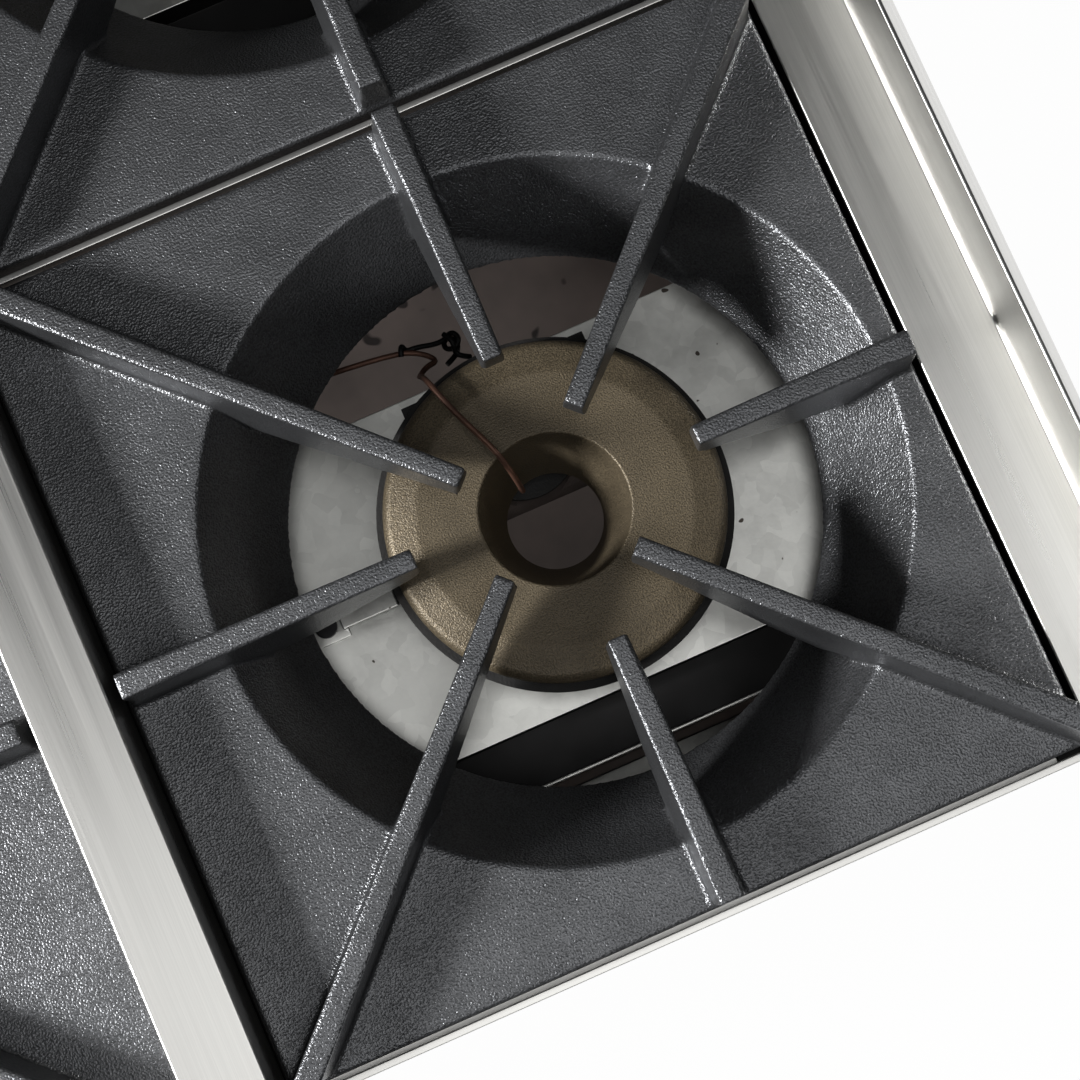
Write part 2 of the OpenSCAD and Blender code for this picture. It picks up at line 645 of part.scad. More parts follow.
module drip_tray() {
    front = panel_y - touch;
    face_x = inside_x - 2;
    color("#8a8580") {
        difference() {
            block([-tray_x, front - eps, tray_z], [tray_x, tray_rear_y, tray_z + tray_h]);
            block([-tray_x + inner_t, front + inner_t, tray_z + inner_t],
                [tray_x - inner_t, tray_rear_y - inner_t, tray_z + tray_h + 1]);
        }
        difference() {
            block([-tray_x - 1, front + 4, tray_z + tray_h - tray_lip],
                [tray_x + 1, tray_rear_y, tray_z + tray_h]);
            block([-tray_x - 1 + tray_lip, front, tray_z], [tray_x + 1 - tray_lip,
                tray_rear_y - tray_lip, tray_z + tray_h + 1]);
        }
        block([-face_x, front - sheet, leg_h + 3], [face_x, front, tray_head_z - 2]);
        block([-grip_w / 2, front - grip_d, tray_head_z - 2 - sheet], [grip_w / 2, front, tray_head_z - 2]);
        block([-grip_w / 2, front - grip_d, tray_head_z - 14],
            [grip_w / 2, front - grip_d + sheet, tray_head_z - 2]);
    }
}

module panel_screws() {
    color("silver") {
        for (x = front_screw_x, z = front_screw_z) translate([x, panel_y, z])
            rotate([90, 0, 0]) panel_screw();
        for (x = rear_screw_x, z = rear_screw_z) translate([x, rear_y, z])
            rotate([-90, 0, 0]) panel_screw();
    }
}
module panel_screw() {
    cylinder(h = 2, r1 = 4, r2 = 3.2);
    translate([0, 0, -8]) cylinder(h = 8 + eps, r = panel_screw_r);
}

// Gas line: the manifold carries the valves, the inlet pipe runs to the back
module manifold_pipe() {
    end = inlet_x - 20;
    color("#3b3b3b") difference() {
        union() {
            translate([-inside_x + 30, manifold_y, manifold_z])
                rotate([0, 90, 0]) cylinder(h = end + inside_x - 30, r = pipe_r);
            translate([-inside_x + 22, manifold_y, manifold_z])
                rotate([0, 90, 0]) cylinder(h = 22, r = pipe_r + 3);
        }
        translate([-inside_x + 30, manifold_y, manifold_z])
            rotate([0, 90, 0]) cylinder(h = end + inside_x, r = pipe_r - pipe_wall);
        for (x = knob_x, col = [LEFT, RIGHT]) translate([col * x, manifold_y, manifold_z])
            rotate([90, 0, 0]) cylinder(h = pipe_r + 1, r = nipple_r + run_gap);
        for (x = pilot_tap_x, col = [LEFT, RIGHT]) translate([col * x, manifold_y, manifold_z])
            cylinder(h = pipe_r + 1, r = pilot_r + 2 * run_gap);
    }
}

module inlet_pipe() {
    bore = pipe_r - pipe_wall;
    color("#3b3b3b") translate([inlet_x, manifold_y, manifold_z]) difference() {
        union() {
            sphere(r = pipe_r + 3);
            translate([-20, 0, 0]) rotate([0, 90, 0]) cylinder(h = 20, r = pipe_r + 3);
            rotate([-90, 0, 0]) cylinder(h = 20, r = pipe_r + 3);
            rotate([-90, 0, 0])
                cylinder(h = rear_y + inlet_stub - thread_l - runout_w - manifold_y, r = pipe_r);
            rotate([-90, 0, 0]) cylinder(h = rear_y + inlet_stub - thread_l - manifold_y, r = thread_r - 0.7);
            translate([0, rear_y + inlet_stub - thread_l - manifold_y, 0])
                rotate([-90, 0, 0]) cylinder(h = thread_l, r = thread_r);
        }
        translate([-30, 0, 0]) rotate([0, 90, 0]) cylinder(h = 30, r = bore);
        rotate([-90, 0, 0]) cylinder(h = rear_y + inlet_stub - manifold_y + 1, r = bore);
    }
}

// Puts a piece at a valve, with its Z towards the cook
module at_valve(row, col) {
    x = knob_x[row];
    translate([col * x, panel_y, manifold_z]) rotate([90, 0, 0]) children();
}

module gas_valve(row, col) {
    back = manifold_y - pipe_r - panel_y;
    outlet = panel_y - manifold_y + 26;
    color("#b08d3c") at_valve(row, col) difference() {
        union() {
            translate([0, 0, -back]) cylinder(h = back - sheet - 4, r = 9.5);
            translate([0, 0, -back - 2.5]) cylinder(h = 3, r = nipple_r);
            translate([0, 0, -sheet - 5]) cylinder(h = 5, r = 13);
            translate([0, 0, outlet]) rotate([-90, 0, 0])
                cylinder(h = 15, r = feed_r + 2.5);
        }
        translate([0, 0, -22]) cylinder(h = 30, r = stem_r + run_gap);
        translate([0, 0, outlet]) rotate([-90, 0, 0])
            cylinder(h = 16, r = feed_r + run_gap);
    }
}

module valve_stem(row, col) {
    color("#c9a227") at_valve(row, col) translate([0, 0, -21.5])
        cylinder(h = 21.5 + knob_l - 6, r = stem_r);
}

module knob(row, col) {
    back = 1.5;
    color("#1c1c1c") at_valve(row, col) translate([0, 0, back]) difference() {
        union() {
            cylinder(h = 8, r1 = knob_r, r2 = knob_r - 1.5);
            cylinder(h = knob_l - back, r1 = knob_r - 5, r2 = knob_r - 7);
            intersection() {
                block([-5, -knob_r + 1.5, 7], [5, knob_r - 1.5, knob_l - back + 3]);
                cylinder(h = 60, r = knob_r - 1.5);
            }
        }
        translate([0, 0, -1]) cylinder(h = knob_l - 6, r = stem_r + run_gap);
    }
}

module feed_tube(row, col) {
    route = row == FRONT ? feed_front : feed_rear;
    last = route[len(route) - 1];
    color("#c8c8c8") in_column(col) {
        sweep(soften(route, 2), feed_r);
        translate(last) rotate([0, -90, 0]) cylinder(h = 10, r1 = feed_r + 1.6, r2 = 3);
        translate(last) rotate([0, 90, 0]) cylinder(h = 6, r = feed_r + 1.6);
    }
}

// Thin tube from the manifold to the funnel of a burner
module pilot_tube(row, col) {
    y = grate_y[row];
    tap = pilot_tap_x[row];
    near = [for (p = pilot_end) p + [-burner_x, y, plate_z]];
    route = concat([[-tap, manifold_y, manifold_z + pipe_r - pipe_wall], [-tap, manifold_y, manifold_z + 24],
        [-tap - 20, manifold_y + 26, manifold_z + 24], [-tap - 30, manifold_y + 34, pilot_run_z],
        [-burner_x + 52, y - 84, pilot_run_z]], near);
    color("#7a4a36") in_column(col) sweep(soften(route, 2), pilot_r);
}

// Twist of wire round each pilot tube, in front of its burner
module wire_ties() {
    color("#1a1a1a") all_burners() {
        sweep(soften(tie_path, 2), tie_r);
        sweep(soften(tie_end, 2), tie_r);
    }
}

module leg(row, col) {
    color("silver") at_leg(row, col) difference() {
        union() {
            translate([0, 0, foot_h + touch])
                cylinder(h = leg_h - foot_h - touch, r1 = leg_r - 3, r2 = leg_r);
            translate([0, 0, leg_h - 5]) cylinder(h = 5, r = leg_r + 8);
        }
        cylinder(h = foot_h + 56, r = stud_r + run_gap);
    }
}
module foot(row, col) {
    color("#2a2a2a") at_leg(row, col) {
        cylinder(h = 4, r = foot_r);
        cylinder(h = foot_h, r1 = foot_r, r2 = foot_r - 3);
        cylinder(h = foot_h + 50, r = stud_r);
    }
}
module at_leg(row, col) {
    y = row == FRONT ? panel_y + leg_inset : rear_y - leg_inset;
    translate([col * (inside_x - leg_inset), y, 0]) children();
}

bottom_pan();
side_panel(LEFT);  // side_panel_left
side_panel(RIGHT);  // side_panel_right
rear_panel();
control_panel();
front_ledge();
centre_support();
column_divider();
row_bars();
side_guard(LEFT);  // side_guard_left
side_guard(RIGHT);  // side_guard_right
burner_shelf(FRONT);  // burner_shelf_front
burner_shelf(REAR);  // burner_shelf_rear
drip_tray();
manifold_pipe();
inlet_pipe();
burner_straps();
wire_ties();
shelf_screws();
panel_screws();
grate(FRONT, LEFT);  // grate_front_left
grate(FRONT, RIGHT);  // grate_front_right
grate(REAR, LEFT);  // grate_rear_left
grate(REAR, RIGHT);  // grate_rear_right
burner_head(FRONT, LEFT);  // burner_head_front_left
burner_head(FRONT, RIGHT);  // burner_head_front_right
burner_head(REAR, LEFT);  // burner_head_rear_left
burner_head(REAR, RIGHT);  // burner_head_rear_right
burner_body(FRONT, LEFT);  // burner_body_front_left
burner_body(FRONT, RIGHT);  // burner_body_front_right
burner_body(REAR, LEFT);  // burner_body_rear_left
burner_body(REAR, RIGHT);  // burner_body_rear_right
gas_valve(FRONT, LEFT);  // gas_valve_front_left
gas_valve(FRONT, RIGHT);  // gas_valve_front_right
gas_valve(REAR, LEFT);  // gas_valve_rear_left
gas_valve(REAR, RIGHT);  // gas_valve_rear_right
valve_stem(FRONT, LEFT);  // valve_stem_front_left
valve_stem(FRONT, RIGHT);  // valve_stem_front_right
valve_stem(REAR, LEFT);  // valve_stem_rear_left
valve_stem(REAR, RIGHT);  // valve_stem_rear_right
knob(FRONT, LEFT);  // knob_front_left
knob(FRONT, RIGHT);  // knob_front_right
knob(REAR, LEFT);  // knob_rear_left
knob(REAR, RIGHT);  // knob_rear_right
feed_tube(FRONT, LEFT);  // feed_tube_front_left
feed_tube(FRONT, RIGHT);  // feed_tube_front_right
feed_tube(REAR, LEFT);  // feed_tube_rear_left
feed_tube(REAR, RIGHT);  // feed_tube_rear_right
pilot_tube(FRONT, LEFT);  // pilot_tube_front_left
pilot_tube(FRONT, RIGHT);  // pilot_tube_front_right
pilot_tube(REAR, LEFT);  // pilot_tube_rear_left
pilot_tube(REAR, RIGHT);  // pilot_tube_rear_right
leg(FRONT, LEFT);  // leg_front_left
leg(FRONT, RIGHT);  // leg_front_right
leg(REAR, LEFT);  // leg_rear_left
leg(REAR, RIGHT);  // leg_rear_right
foot(FRONT, LEFT);  // foot_front_left
foot(FRONT, RIGHT);  // foot_front_right
foot(REAR, LEFT);  // foot_rear_left
foot(REAR, RIGHT);  // foot_rear_right
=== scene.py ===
import json
import math

import bmesh
import bpy
from mathutils import Matrix, Vector


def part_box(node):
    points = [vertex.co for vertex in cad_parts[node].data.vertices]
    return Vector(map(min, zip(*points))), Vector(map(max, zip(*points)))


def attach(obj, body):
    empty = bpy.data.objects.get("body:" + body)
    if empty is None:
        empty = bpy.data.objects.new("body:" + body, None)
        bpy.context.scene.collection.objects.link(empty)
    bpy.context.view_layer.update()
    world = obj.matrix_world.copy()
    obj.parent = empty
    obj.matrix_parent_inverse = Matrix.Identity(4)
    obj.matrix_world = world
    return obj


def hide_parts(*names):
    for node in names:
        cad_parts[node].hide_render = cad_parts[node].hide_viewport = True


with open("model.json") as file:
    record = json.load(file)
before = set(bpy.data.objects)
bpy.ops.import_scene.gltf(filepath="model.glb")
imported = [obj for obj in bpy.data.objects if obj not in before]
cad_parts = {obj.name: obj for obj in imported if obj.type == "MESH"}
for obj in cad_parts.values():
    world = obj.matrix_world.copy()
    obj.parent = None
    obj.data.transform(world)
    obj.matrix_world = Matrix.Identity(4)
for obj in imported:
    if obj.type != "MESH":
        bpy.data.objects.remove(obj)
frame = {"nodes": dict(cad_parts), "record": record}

bl_info = {
    "name": "Countertop Gas Hotplate",
    "version": (1, 0, 0),
    "blender": (4, 5, 0),
    "location": "3D View > Sidebar > Hotplate",
    "description": "Cast grates, ring burners and folded steel body of a gas hotplate with four burners",
    "category": "Object",
}

MM = 0.001
# Vertices nearer than the first are merged; one nearer to a line than the second lies on it
MERGED = 0.002 * MM
NEAR = 0.01 * MM
# Width of the flanges that the grates rest on, height of the ledge's rolled nose and rise of the divider
# over the plates, in mm
REST_WIDTH = 10.5
NOSE = 44
DIVIDER_RISE = 20
PLACES = ("front_left", "front_right", "rear_left", "rear_right")
BODY_OF = {node: body for body, nodes in frame["record"]["behaviour"]["bodies"].items() for node in nodes}
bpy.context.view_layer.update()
# Route of the wire round a pilot tube and of its second end, in mm from the plate over a burner
TIE_ROUTE = (
    (23, -66.2, -38.9), (22.4, -68, -38.2), (21.6, -69.6, -40), (21, -67.6, -41.9), (18, -67.6, -41.6),
    (12, -65.8, -40.2), (8.8, -65.6, -39), (5.8, -67, -37.4), (4.2, -64, -36.4), (6.8, -61.2, -36.6),
    (10, -63, -38.6), (8.4, -66.6, -41), (5, -64.6, -40.6), (6.4, -60.4, -39.6), (11, -58, -38))
TIE_END = ((8.4, -67, -36.8), (6.6, -63.6, -35), (7.4, -60, -37.6), (5.2, -58.2, -37.4), (3.6, -57, -36))
PLATE_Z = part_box("column_divider")[1].z - DIVIDER_RISE * MM
PANEL_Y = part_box("control_panel")[0].y


def linear(code):
    """Linear colour of an sRGB hex code."""
    values = [int(code[i:i + 2], 16) / 255 for i in (1, 3, 5)]
    return [v / 12.92 if v <= 0.04045 else ((v + 0.055) / 1.055) ** 2.4 for v in values]


def colour_property(name, description, code):
    return bpy.props.FloatVectorProperty(
        name=name, description=description, subtype="COLOR", size=3, min=0, max=1, default=linear(code))


class HotplateSizes(bpy.types.PropertyGroup):
    grain: bpy.props.FloatProperty(
        name="Casting skin", description="Step of the skin that is laid over a casting",
        default=0.85 * MM, min=0.5 * MM, max=4 * MM, subtype="DISTANCE", unit="LENGTH")
    softness: bpy.props.IntProperty(
        name="Casting softness", description="Passes that round the edges and corners of the grates",
        default=2, min=1, max=20)
    panel_edge: bpy.props.FloatProperty(
        name="Panel edge", description="Radius on the edges of the plain panels",
        default=0.4 * MM, min=0.1 * MM, max=0.6 * MM, subtype="DISTANCE", unit="LENGTH")
    divider_fold: bpy.props.FloatProperty(
        name="Divider fold", description="Radius of the folds along the divider",
        default=0.8 * MM, min=0.5 * MM, max=3 * MM, subtype="DISTANCE", unit="LENGTH")
    strip_fold: bpy.props.FloatProperty(
        name="Strip fold", description="Radius of the fold between side strip and grate",
        default=0.7 * MM, min=0.3 * MM, max=3 * MM, subtype="DISTANCE", unit="LENGTH")
    guard_fold: bpy.props.FloatProperty(
        name="Guard fold", description="Radius of the fold at the foot of a side guard",
        default=1.1 * MM, min=0.5 * MM, max=4 * MM, subtype="DISTANCE", unit="LENGTH")
    sheet: bpy.props.FloatProperty(
        name="Sheet", description="Thickness of the folded sheet",
        default=1.2 * MM, min=0.8 * MM, max=1.5 * MM, subtype="DISTANCE", unit="LENGTH")
    knob_grip: bpy.props.FloatProperty(
        name="Knob grip", description="Thickness of the bar that turns a knob",
        default=10 * MM, min=7 * MM, max=14 * MM, subtype="DISTANCE", unit="LENGTH")


class HotplateColours(bpy.types.PropertyGroup):
    grate: colour_property("Grate", "Oiled cast iron of the grates", "#68696b")
    burner: colour_property("Burner", "Baked bronze-brown cast iron of the burners", "#625847")
    stainless: colour_property("Stainless", "Brushed stainless sheet", "#e0dfdb")
    aluminised: colour_property("Aluminised", "Aluminised sheet of the shelves", "#e4e4df")
    tray: colour_property("Tray", "Greased steel of the drip tray", "#82756f")
    copper: colour_property("Copper", "Heat-darkened copper of the pilot tubes", "#735345")
    brass: colour_property("Brass", "Turned brass of the valves", "#b8954a")
    knob: colour_property("Knob", "Black phenolic moulding of the knobs", "#1d1d1f")
    mark: colour_property("Mark", "Filled pointer line of a knob", "#e6e3da")
    wire: colour_property("Wire", "Dark annealed tie wire", "#0d0c0c")
    pipe: colour_property("Pipe", "Black gas pipe", "#2f3033")
    floor: colour_property("Floor", "Pale plain floor", "#f2f2f0")


class HotplateStage(bpy.types.PropertyGroup):
    lens: bpy.props.FloatProperty(
        name="Lens", description="Focal length on a sensor 36 mm wide", default=83.33, min=20, max=200)
    camera_place: bpy.props.FloatVectorProperty(
        name="Camera", description="Place of the camera over the left rear grate", size=3,
        subtype="TRANSLATION", unit="LENGTH", default=(-0.116347, 0.248754, 1.038665))
    camera_turn: bpy.props.FloatVectorProperty(
        name="Camera turn", description="Tilt and turn of the camera", size=3, subtype="EULER",
        unit="ROTATION", default=tuple(math.radians(a) for a in (6.412, 0.623, 156.304)))
    key_turn: bpy.props.FloatVectorProperty(
        name="Key direction", description="Direction from the left rear burner to the key light", size=3,
        subtype="DIRECTION", default=(1.6, -0.1, 1.0))
    key_size: bpy.props.FloatProperty(
        name="Key size", description="Side of the key light", default=0.26, min=0.02, max=2,
        subtype="DISTANCE", unit="LENGTH")
    key_power: bpy.props.FloatProperty(
        name="Key light", description="Power of the key light in watts", default=31, min=0, max=200)
    bounce_power: bpy.props.FloatProperty(
        name="Bounce light", description="Power of the light that falls round the burners onto the tray",
        default=0.16, min=0, max=2)
    fill_power: bpy.props.FloatProperty(
        name="Overhead light", description="Power of the wide light overhead in watts",
        default=5.6, min=0, max=200)
    sky: bpy.props.FloatProperty(
        name="Sky", description="Strength of the even light from all round", default=0.04, min=0, max=2)


# Tools of the workshop

def deselect():
    bpy.ops.object.select_all(action="DESELECT")


def take(piece):
    """Makes the piece the only selected one."""
    deselect()
    piece.select_set(True)
    bpy.context.view_layer.objects.active = piece


def apply(piece, kind, **settings):
    """Adds a modifier and applies it."""
    take(piece)
    modifier = piece.modifiers.new(kind.title(), kind)
    for name, value in settings.items():
        setattr(modifier, name, value)
    bpy.ops.object.modifier_apply(modifier=modifier.name)


def choose(piece, kind, test):
    """In edit mode, selects the vertices, edges or faces that pass the test."""
    bpy.ops.object.mode_set(mode="EDIT")
    bpy.ops.mesh.select_mode(type=kind)
    bpy.ops.mesh.select_all(action="DESELECT")
    mesh = bmesh.from_edit_mesh(piece.data)
    for item in {"VERT": mesh.verts, "EDGE": mesh.edges, "FACE": mesh.faces}[kind]:
        if test(item):
            item.select_set(True)
    mesh.select_flush_mode()
    bmesh.update_edit_mesh(piece.data)


def open_whole(piece):
    """Opens the piece in edit mode with everything selected."""
    take(piece)
    bpy.ops.object.mode_set(mode="EDIT")
    bpy.ops.mesh.select_all(action="SELECT")


def leave_edit():
    bpy.ops.object.mode_set(mode="OBJECT")


def merge(piece):
    """Merges doubles."""
    open_whole(piece)
    bpy.ops.mesh.remove_doubles(threshold=MERGED)
    leave_edit()


def outwards(piece):
    """Merges doubles and turns all faces outwards."""
    merge(piece)
    open_whole(piece)
    bpy.ops.mesh.normals_make_consistent(inside=False)
    leave_edit()


def turn_over(piece):
    """Flips all faces."""
    open_whole(piece)
    bpy.ops.mesh.flip_normals()
    leave_edit()


def smooth(piece, angle):
    """Shades smooth up to the angle, and keeps flat faces flat beside their rounded edges."""
    take(piece)
    bpy.ops.object.shade_smooth_by_angle(angle=math.radians(angle))
    apply(piece, "WEIGHTED_NORMAL", keep_sharp=True)


def join(pieces, name):
    """Joins pieces into the first."""
    take(pieces[0])
    for piece in pieces:
        piece.select_set(True)
    bpy.ops.object.join()
    pieces[0].name = pieces[0].data.name = name
    return pieces[0]


def hand_over(piece, material, *nodes):
    """Gives the piece its finish, unless it has one, and lets it stand for CAD nodes, on their body."""
    if material is not None:
        piece.data.materials.clear()
        piece.data.materials.append(material)
    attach(piece, BODY_OF[nodes[0]])
    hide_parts(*nodes)
    deselect()


def copy_of(node, name):
    """A merged copy of a CAD node with clean flat faces, free of its body."""
    source = frame["nodes"][node]
    piece = source.copy()
    piece.data = source.data.copy()
    for key in list(piece.keys()):
        del piece[key]
    piece.parent = None
    piece.name = piece.data.name = name
    piece.data.materials.clear()
    bpy.context.scene.collection.objects.link(piece)
    take(piece)
    if piece.data.has_custom_normals:
        bpy.ops.mesh.customdata_custom_splitnormals_clear()
    merge(piece)
    return piece


def eased(node, name, radius, angle=40):
    """A copy of a CAD node with its edges broken to a radius."""
    piece = copy_of(node, name)
    open_whole(piece)
    bpy.ops.mesh.dissolve_limited(angle_limit=math.radians(0.8))
    # A face that turns back on itself would otherwise close over the hollow beside it
    bpy.ops.mesh.vert_connect_concave()
    leave_edit()
    apply(piece, "BEVEL", width=radius, segments=2, limit_method="ANGLE",
          angle_limit=math.radians(angle), use_clamp_overlap=True, miter_outer="MITER_ARC")
    smooth(piece, 30)
    return piece


def cast(node, name, skin, softness, share):
    """A copy of a CAD node under a sand casting's soft skin, of whose faces a share is kept."""
    piece = copy_of(node, name)
    apply(piece, "REMESH", mode="VOXEL", voxel_size=skin, adaptivity=0)
    apply(piece, "SMOOTH", factor=0.5, iterations=softness)
    apply(piece, "DECIMATE", decimate_type="COLLAPSE", ratio=share)
    take(piece)
    bpy.ops.object.shade_smooth()
    return piece


def moved_copy(piece, name, shift, mirrored):
    """A copy with its own mesh, moved, or mirrored to the other column."""
    copy = piece.copy()
    copy.data = piece.data.copy()
    copy.name = copy.data.name = name
    bpy.context.scene.collection.objects.link(copy)
    copy.data.transform(Matrix.Translation(shift))
    if mirrored:
        take(copy)
        weighted = copy.data.has_custom_normals
        if weighted:
            bpy.ops.mesh.customdata_custom_splitnormals_clear()
        copy.data.transform(Matrix.Diagonal((-1, 1, 1, 1)))
        turn_over(copy)
        if weighted:
            apply(copy, "WEIGHTED_NORMAL", keep_sharp=True)
    return copy


def burner_centre(place):
    low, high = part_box("burner_head_" + place)
    return Vector(((low.x + high.x) / 2, (low.y + high.y) / 2, PLATE_Z))


def each_burner(piece, name):
    """The piece, made at the left rear burner, and its copies at the other three."""
    home = burner_centre("rear_left")
    copies = {}
    for place in PLACES:
        shift = Vector((0, burner_centre(place).y - home.y, 0))
        copies[place] = moved_copy(piece, name + "_" + place, shift, place.endswith("right"))
    bpy.data.objects.remove(piece)
    return copies


def at_burner(point):
    """Millimetres from the plate over the left rear burner, in metres from the origin."""
    return burner_centre("rear_left") + Vector(point) * MM


def paint_shade(piece, bright, dark, test):
    """Gives the piece two finishes, the dark one, painted shade, on the faces that pass the test."""
    piece.data.materials.clear()
    piece.data.materials.append(bright)
    piece.data.materials.append(dark)
    choose(piece, "FACE", test)
    piece.active_material_index = 1
    bpy.ops.object.material_slot_assign()
    leave_edit()


def folded_sheet(name, profile, along, start, end, folds, outward, thickness, shape=None, closed=None):
    """One sheet, extruded leg by leg and bent to a radius at each fold.

    profile holds (across, height) in mm, folds the radius at each index of it. shape moves a vertex of
    the sheet, and closed tells which vertices of its two ends carry a cap.
    """
    axis = "XY".index(along)

    def point(p, station):
        return Vector((p[0], station, p[1]) if axis else (station, p[0], p[1])) * MM

    def on_fold(vertex, p):
        gap = vertex.co - point(p, 0)
        gap[axis] = 0
        return gap.length < NEAR

    deselect()
    bpy.ops.mesh.primitive_plane_add(size=MM)
    piece = bpy.context.object
    piece.name = piece.data.name = name
    for vertex, (p, station) in zip(piece.data.vertices, [
            (profile[0], start), (profile[1], start), (profile[0], end), (profile[1], end)]):
        vertex.co = point(p, station)
    choose(piece, "EDGE", lambda e: all(on_fold(v, profile[1]) for v in e.verts))
    for before, after in zip(profile[1:], profile[2:]):
        bpy.ops.mesh.extrude_edges_move(
            TRANSFORM_OT_translate={"value": point(after, 0) - point(before, 0)})
    for index, radius in folds.items():
        choose(piece, "EDGE", lambda e: all(on_fold(v, profile[index]) for v in e.verts))
        bpy.ops.mesh.bevel(offset=radius, offset_type="OFFSET", affect="EDGES",
                           segments=12 if radius > 5 * MM else 5)
    leave_edit()
    if shape is not None:
        for vertex in piece.data.vertices:
            vertex.co = shape(vertex.co)
    if closed is not None:
        for station in (start, end):
            choose(piece, "VERT", lambda v: abs(v.co[axis] - station * MM) < NEAR and closed(v.co))
            bpy.ops.mesh.edge_face_add()
            leave_edit()
    outwards(piece)
    first = (point(profile[0], (start + end) / 2) + point(profile[1], (start + end) / 2)) / 2
    nearest = min(piece.data.polygons, key=lambda f: (f.center - first).length)
    if nearest.normal.dot(Vector(outward)) < 0:
        turn_over(piece)
    apply(piece, "SOLIDIFY", thickness=thickness, offset=-1, use_even_offset=True)
    apply(piece, "BEVEL", width=0.2 * MM, segments=2, limit_method="ANGLE", angle_limit=math.radians(60))
    smooth(piece, 40)
    return piece


def turned(name, profile, rounds, place, steps, to_front=False):
    """A profile of (radius, height) in mm, its corners rounded, spun about an upright axis through a place.

    to_front lays the axis down towards the cook.
    """
    deselect()
    bpy.ops.mesh.primitive_plane_add(size=MM)
    piece = bpy.context.object
    piece.name = piece.data.name = name
    bpy.ops.object.mode_set(mode="EDIT")
    bpy.ops.mesh.select_mode(type="VERT")
    bpy.ops.mesh.select_all(action="SELECT")
    bpy.ops.mesh.merge(type="CENTER")
    bpy.ops.transform.translate(value=(profile[0][0] * MM, 0, profile[0][1] * MM))
    for before, after in zip(profile, profile[1:]):
        bpy.ops.mesh.extrude_vertices_move(TRANSFORM_OT_translate={
            "value": ((after[0] - before[0]) * MM, 0, (after[1] - before[1]) * MM)})
    for index, radius in rounds.items():
        corner = Vector((profile[index][0], 0, profile[index][1])) * MM
        choose(piece, "VERT", lambda v: (v.co - corner).length < NEAR)
        bpy.ops.mesh.bevel(offset=radius * MM, affect="VERTICES", segments=5)
    bpy.ops.mesh.select_all(action="SELECT")
    bpy.ops.mesh.spin(steps=steps, angle=2 * math.pi, center=(0, 0, 0), axis=(0, 0, 1))
    leave_edit()
    if to_front:
        piece.data.transform(Matrix.Rotation(math.radians(90), 4, "X"))
    piece.data.transform(Matrix.Translation(Vector(place)))
    outwards(piece)
    smooth(piece, 35)
    return piece


def softened(points, passes=3):
    """Cuts the corners off a route, as a tube is bent by hand."""
    points = [Vector(p) for p in points]
    for _ in range(passes):
        cut = [points[0], points[0].lerp(points[1], 0.25)]
        for a, b, c in zip(points, points[1:], points[2:]):
            cut += [b.lerp(a, 0.25), b.lerp(c, 0.25)]
        points = cut + [points[-1].lerp(points[-2], 0.25), points[-1]]
    return points


def tube(name, points, radius):
    """A round tube or wire along points in metres."""
    curve = bpy.data.curves.new(name, "CURVE")
    curve.dimensions = "3D"
    spline = curve.splines.new("POLY")
    spline.points.add(len(points) - 1)
    for place, point in zip(spline.points, points):
        place.co = (*point, 1)
    curve.bevel_depth = radius
    curve.bevel_resolution = 4
    curve.use_fill_caps = True
    piece = bpy.data.objects.new(name, curve)
    bpy.context.scene.collection.objects.link(piece)
    take(piece)
    bpy.ops.object.convert(target="MESH")
    piece = bpy.context.object
    piece.name = piece.data.name = name
    outwards(piece)
    smooth(piece, 50)
    return piece


# Finishes

MADE = {}


def add(tree, kind, values=None, links=None, **settings):
    """Adds a node with its settings, its inputs' values and its links."""
    node = tree.nodes.new(kind)
    for name, value in settings.items():
        setattr(node, name, value)
    for name, value in (values or {}).items():
        node.inputs[name].default_value = value
    for name, socket in (links or {}).items():
        tree.links.new(socket, node.inputs[name])
    return node


def ramp(tree, factor, stops):
    """Colour of a ramp over (position, linear colour) stops."""
    node = add(tree, "ShaderNodeValToRGB", links={"Fac": factor})
    while len(node.color_ramp.elements) < len(stops):
        node.color_ramp.elements.new(0.5)
    for element, (position, colour) in zip(node.color_ramp.elements, stops):
        element.position = position
        element.color = (*colour[:3], 1)
    return node.outputs["Color"]


def shade(colour, factor):
    return [min(1, c * factor) for c in colour]


def shades(tree, factor, colour, stops):
    """Colour of a ramp over (position, brightness) stops of one colour."""
    return ramp(tree, factor, [(position, shade(colour, bright)) for position, bright in stops])


def mixed(tree, first, second, factor=None, blend="MULTIPLY"):
    """Two colours, blended by the factor or in full."""
    links = {6: first, 7: second}
    if factor is not None:
        links[0] = factor
    return add(tree, "ShaderNodeMix", {"Factor": 1.0}, links, data_type="RGBA", blend_type=blend).outputs[2]


def noise(tree, place, scale, detail=2, roughness=0.5):
    """Noise with so many grains in a metre, so 1000 gives a grain of 1 mm."""
    return add(tree, "ShaderNodeTexNoise", {"Scale": scale, "Detail": detail, "Roughness": roughness},
               {"Vector": place}).outputs["Fac"]


def drawn_out(tree, place, across, lengthwise, along):
    """Coordinates in which noise of scale 1 draws so many streaks in a metre across and lengthwise."""
    scale = [across] * 3
    scale[along] = lengthwise
    return add(tree, "ShaderNodeMapping", {"Scale": scale}, {"Vector": place}).outputs["Vector"]


def spread(tree, factor, low, high, start=0.3, stop=0.7):
    return add(tree, "ShaderNodeMapRange",
               {"From Min": start, "From Max": stop, "To Min": low, "To Max": high},
               {"Value": factor}).outputs["Result"]


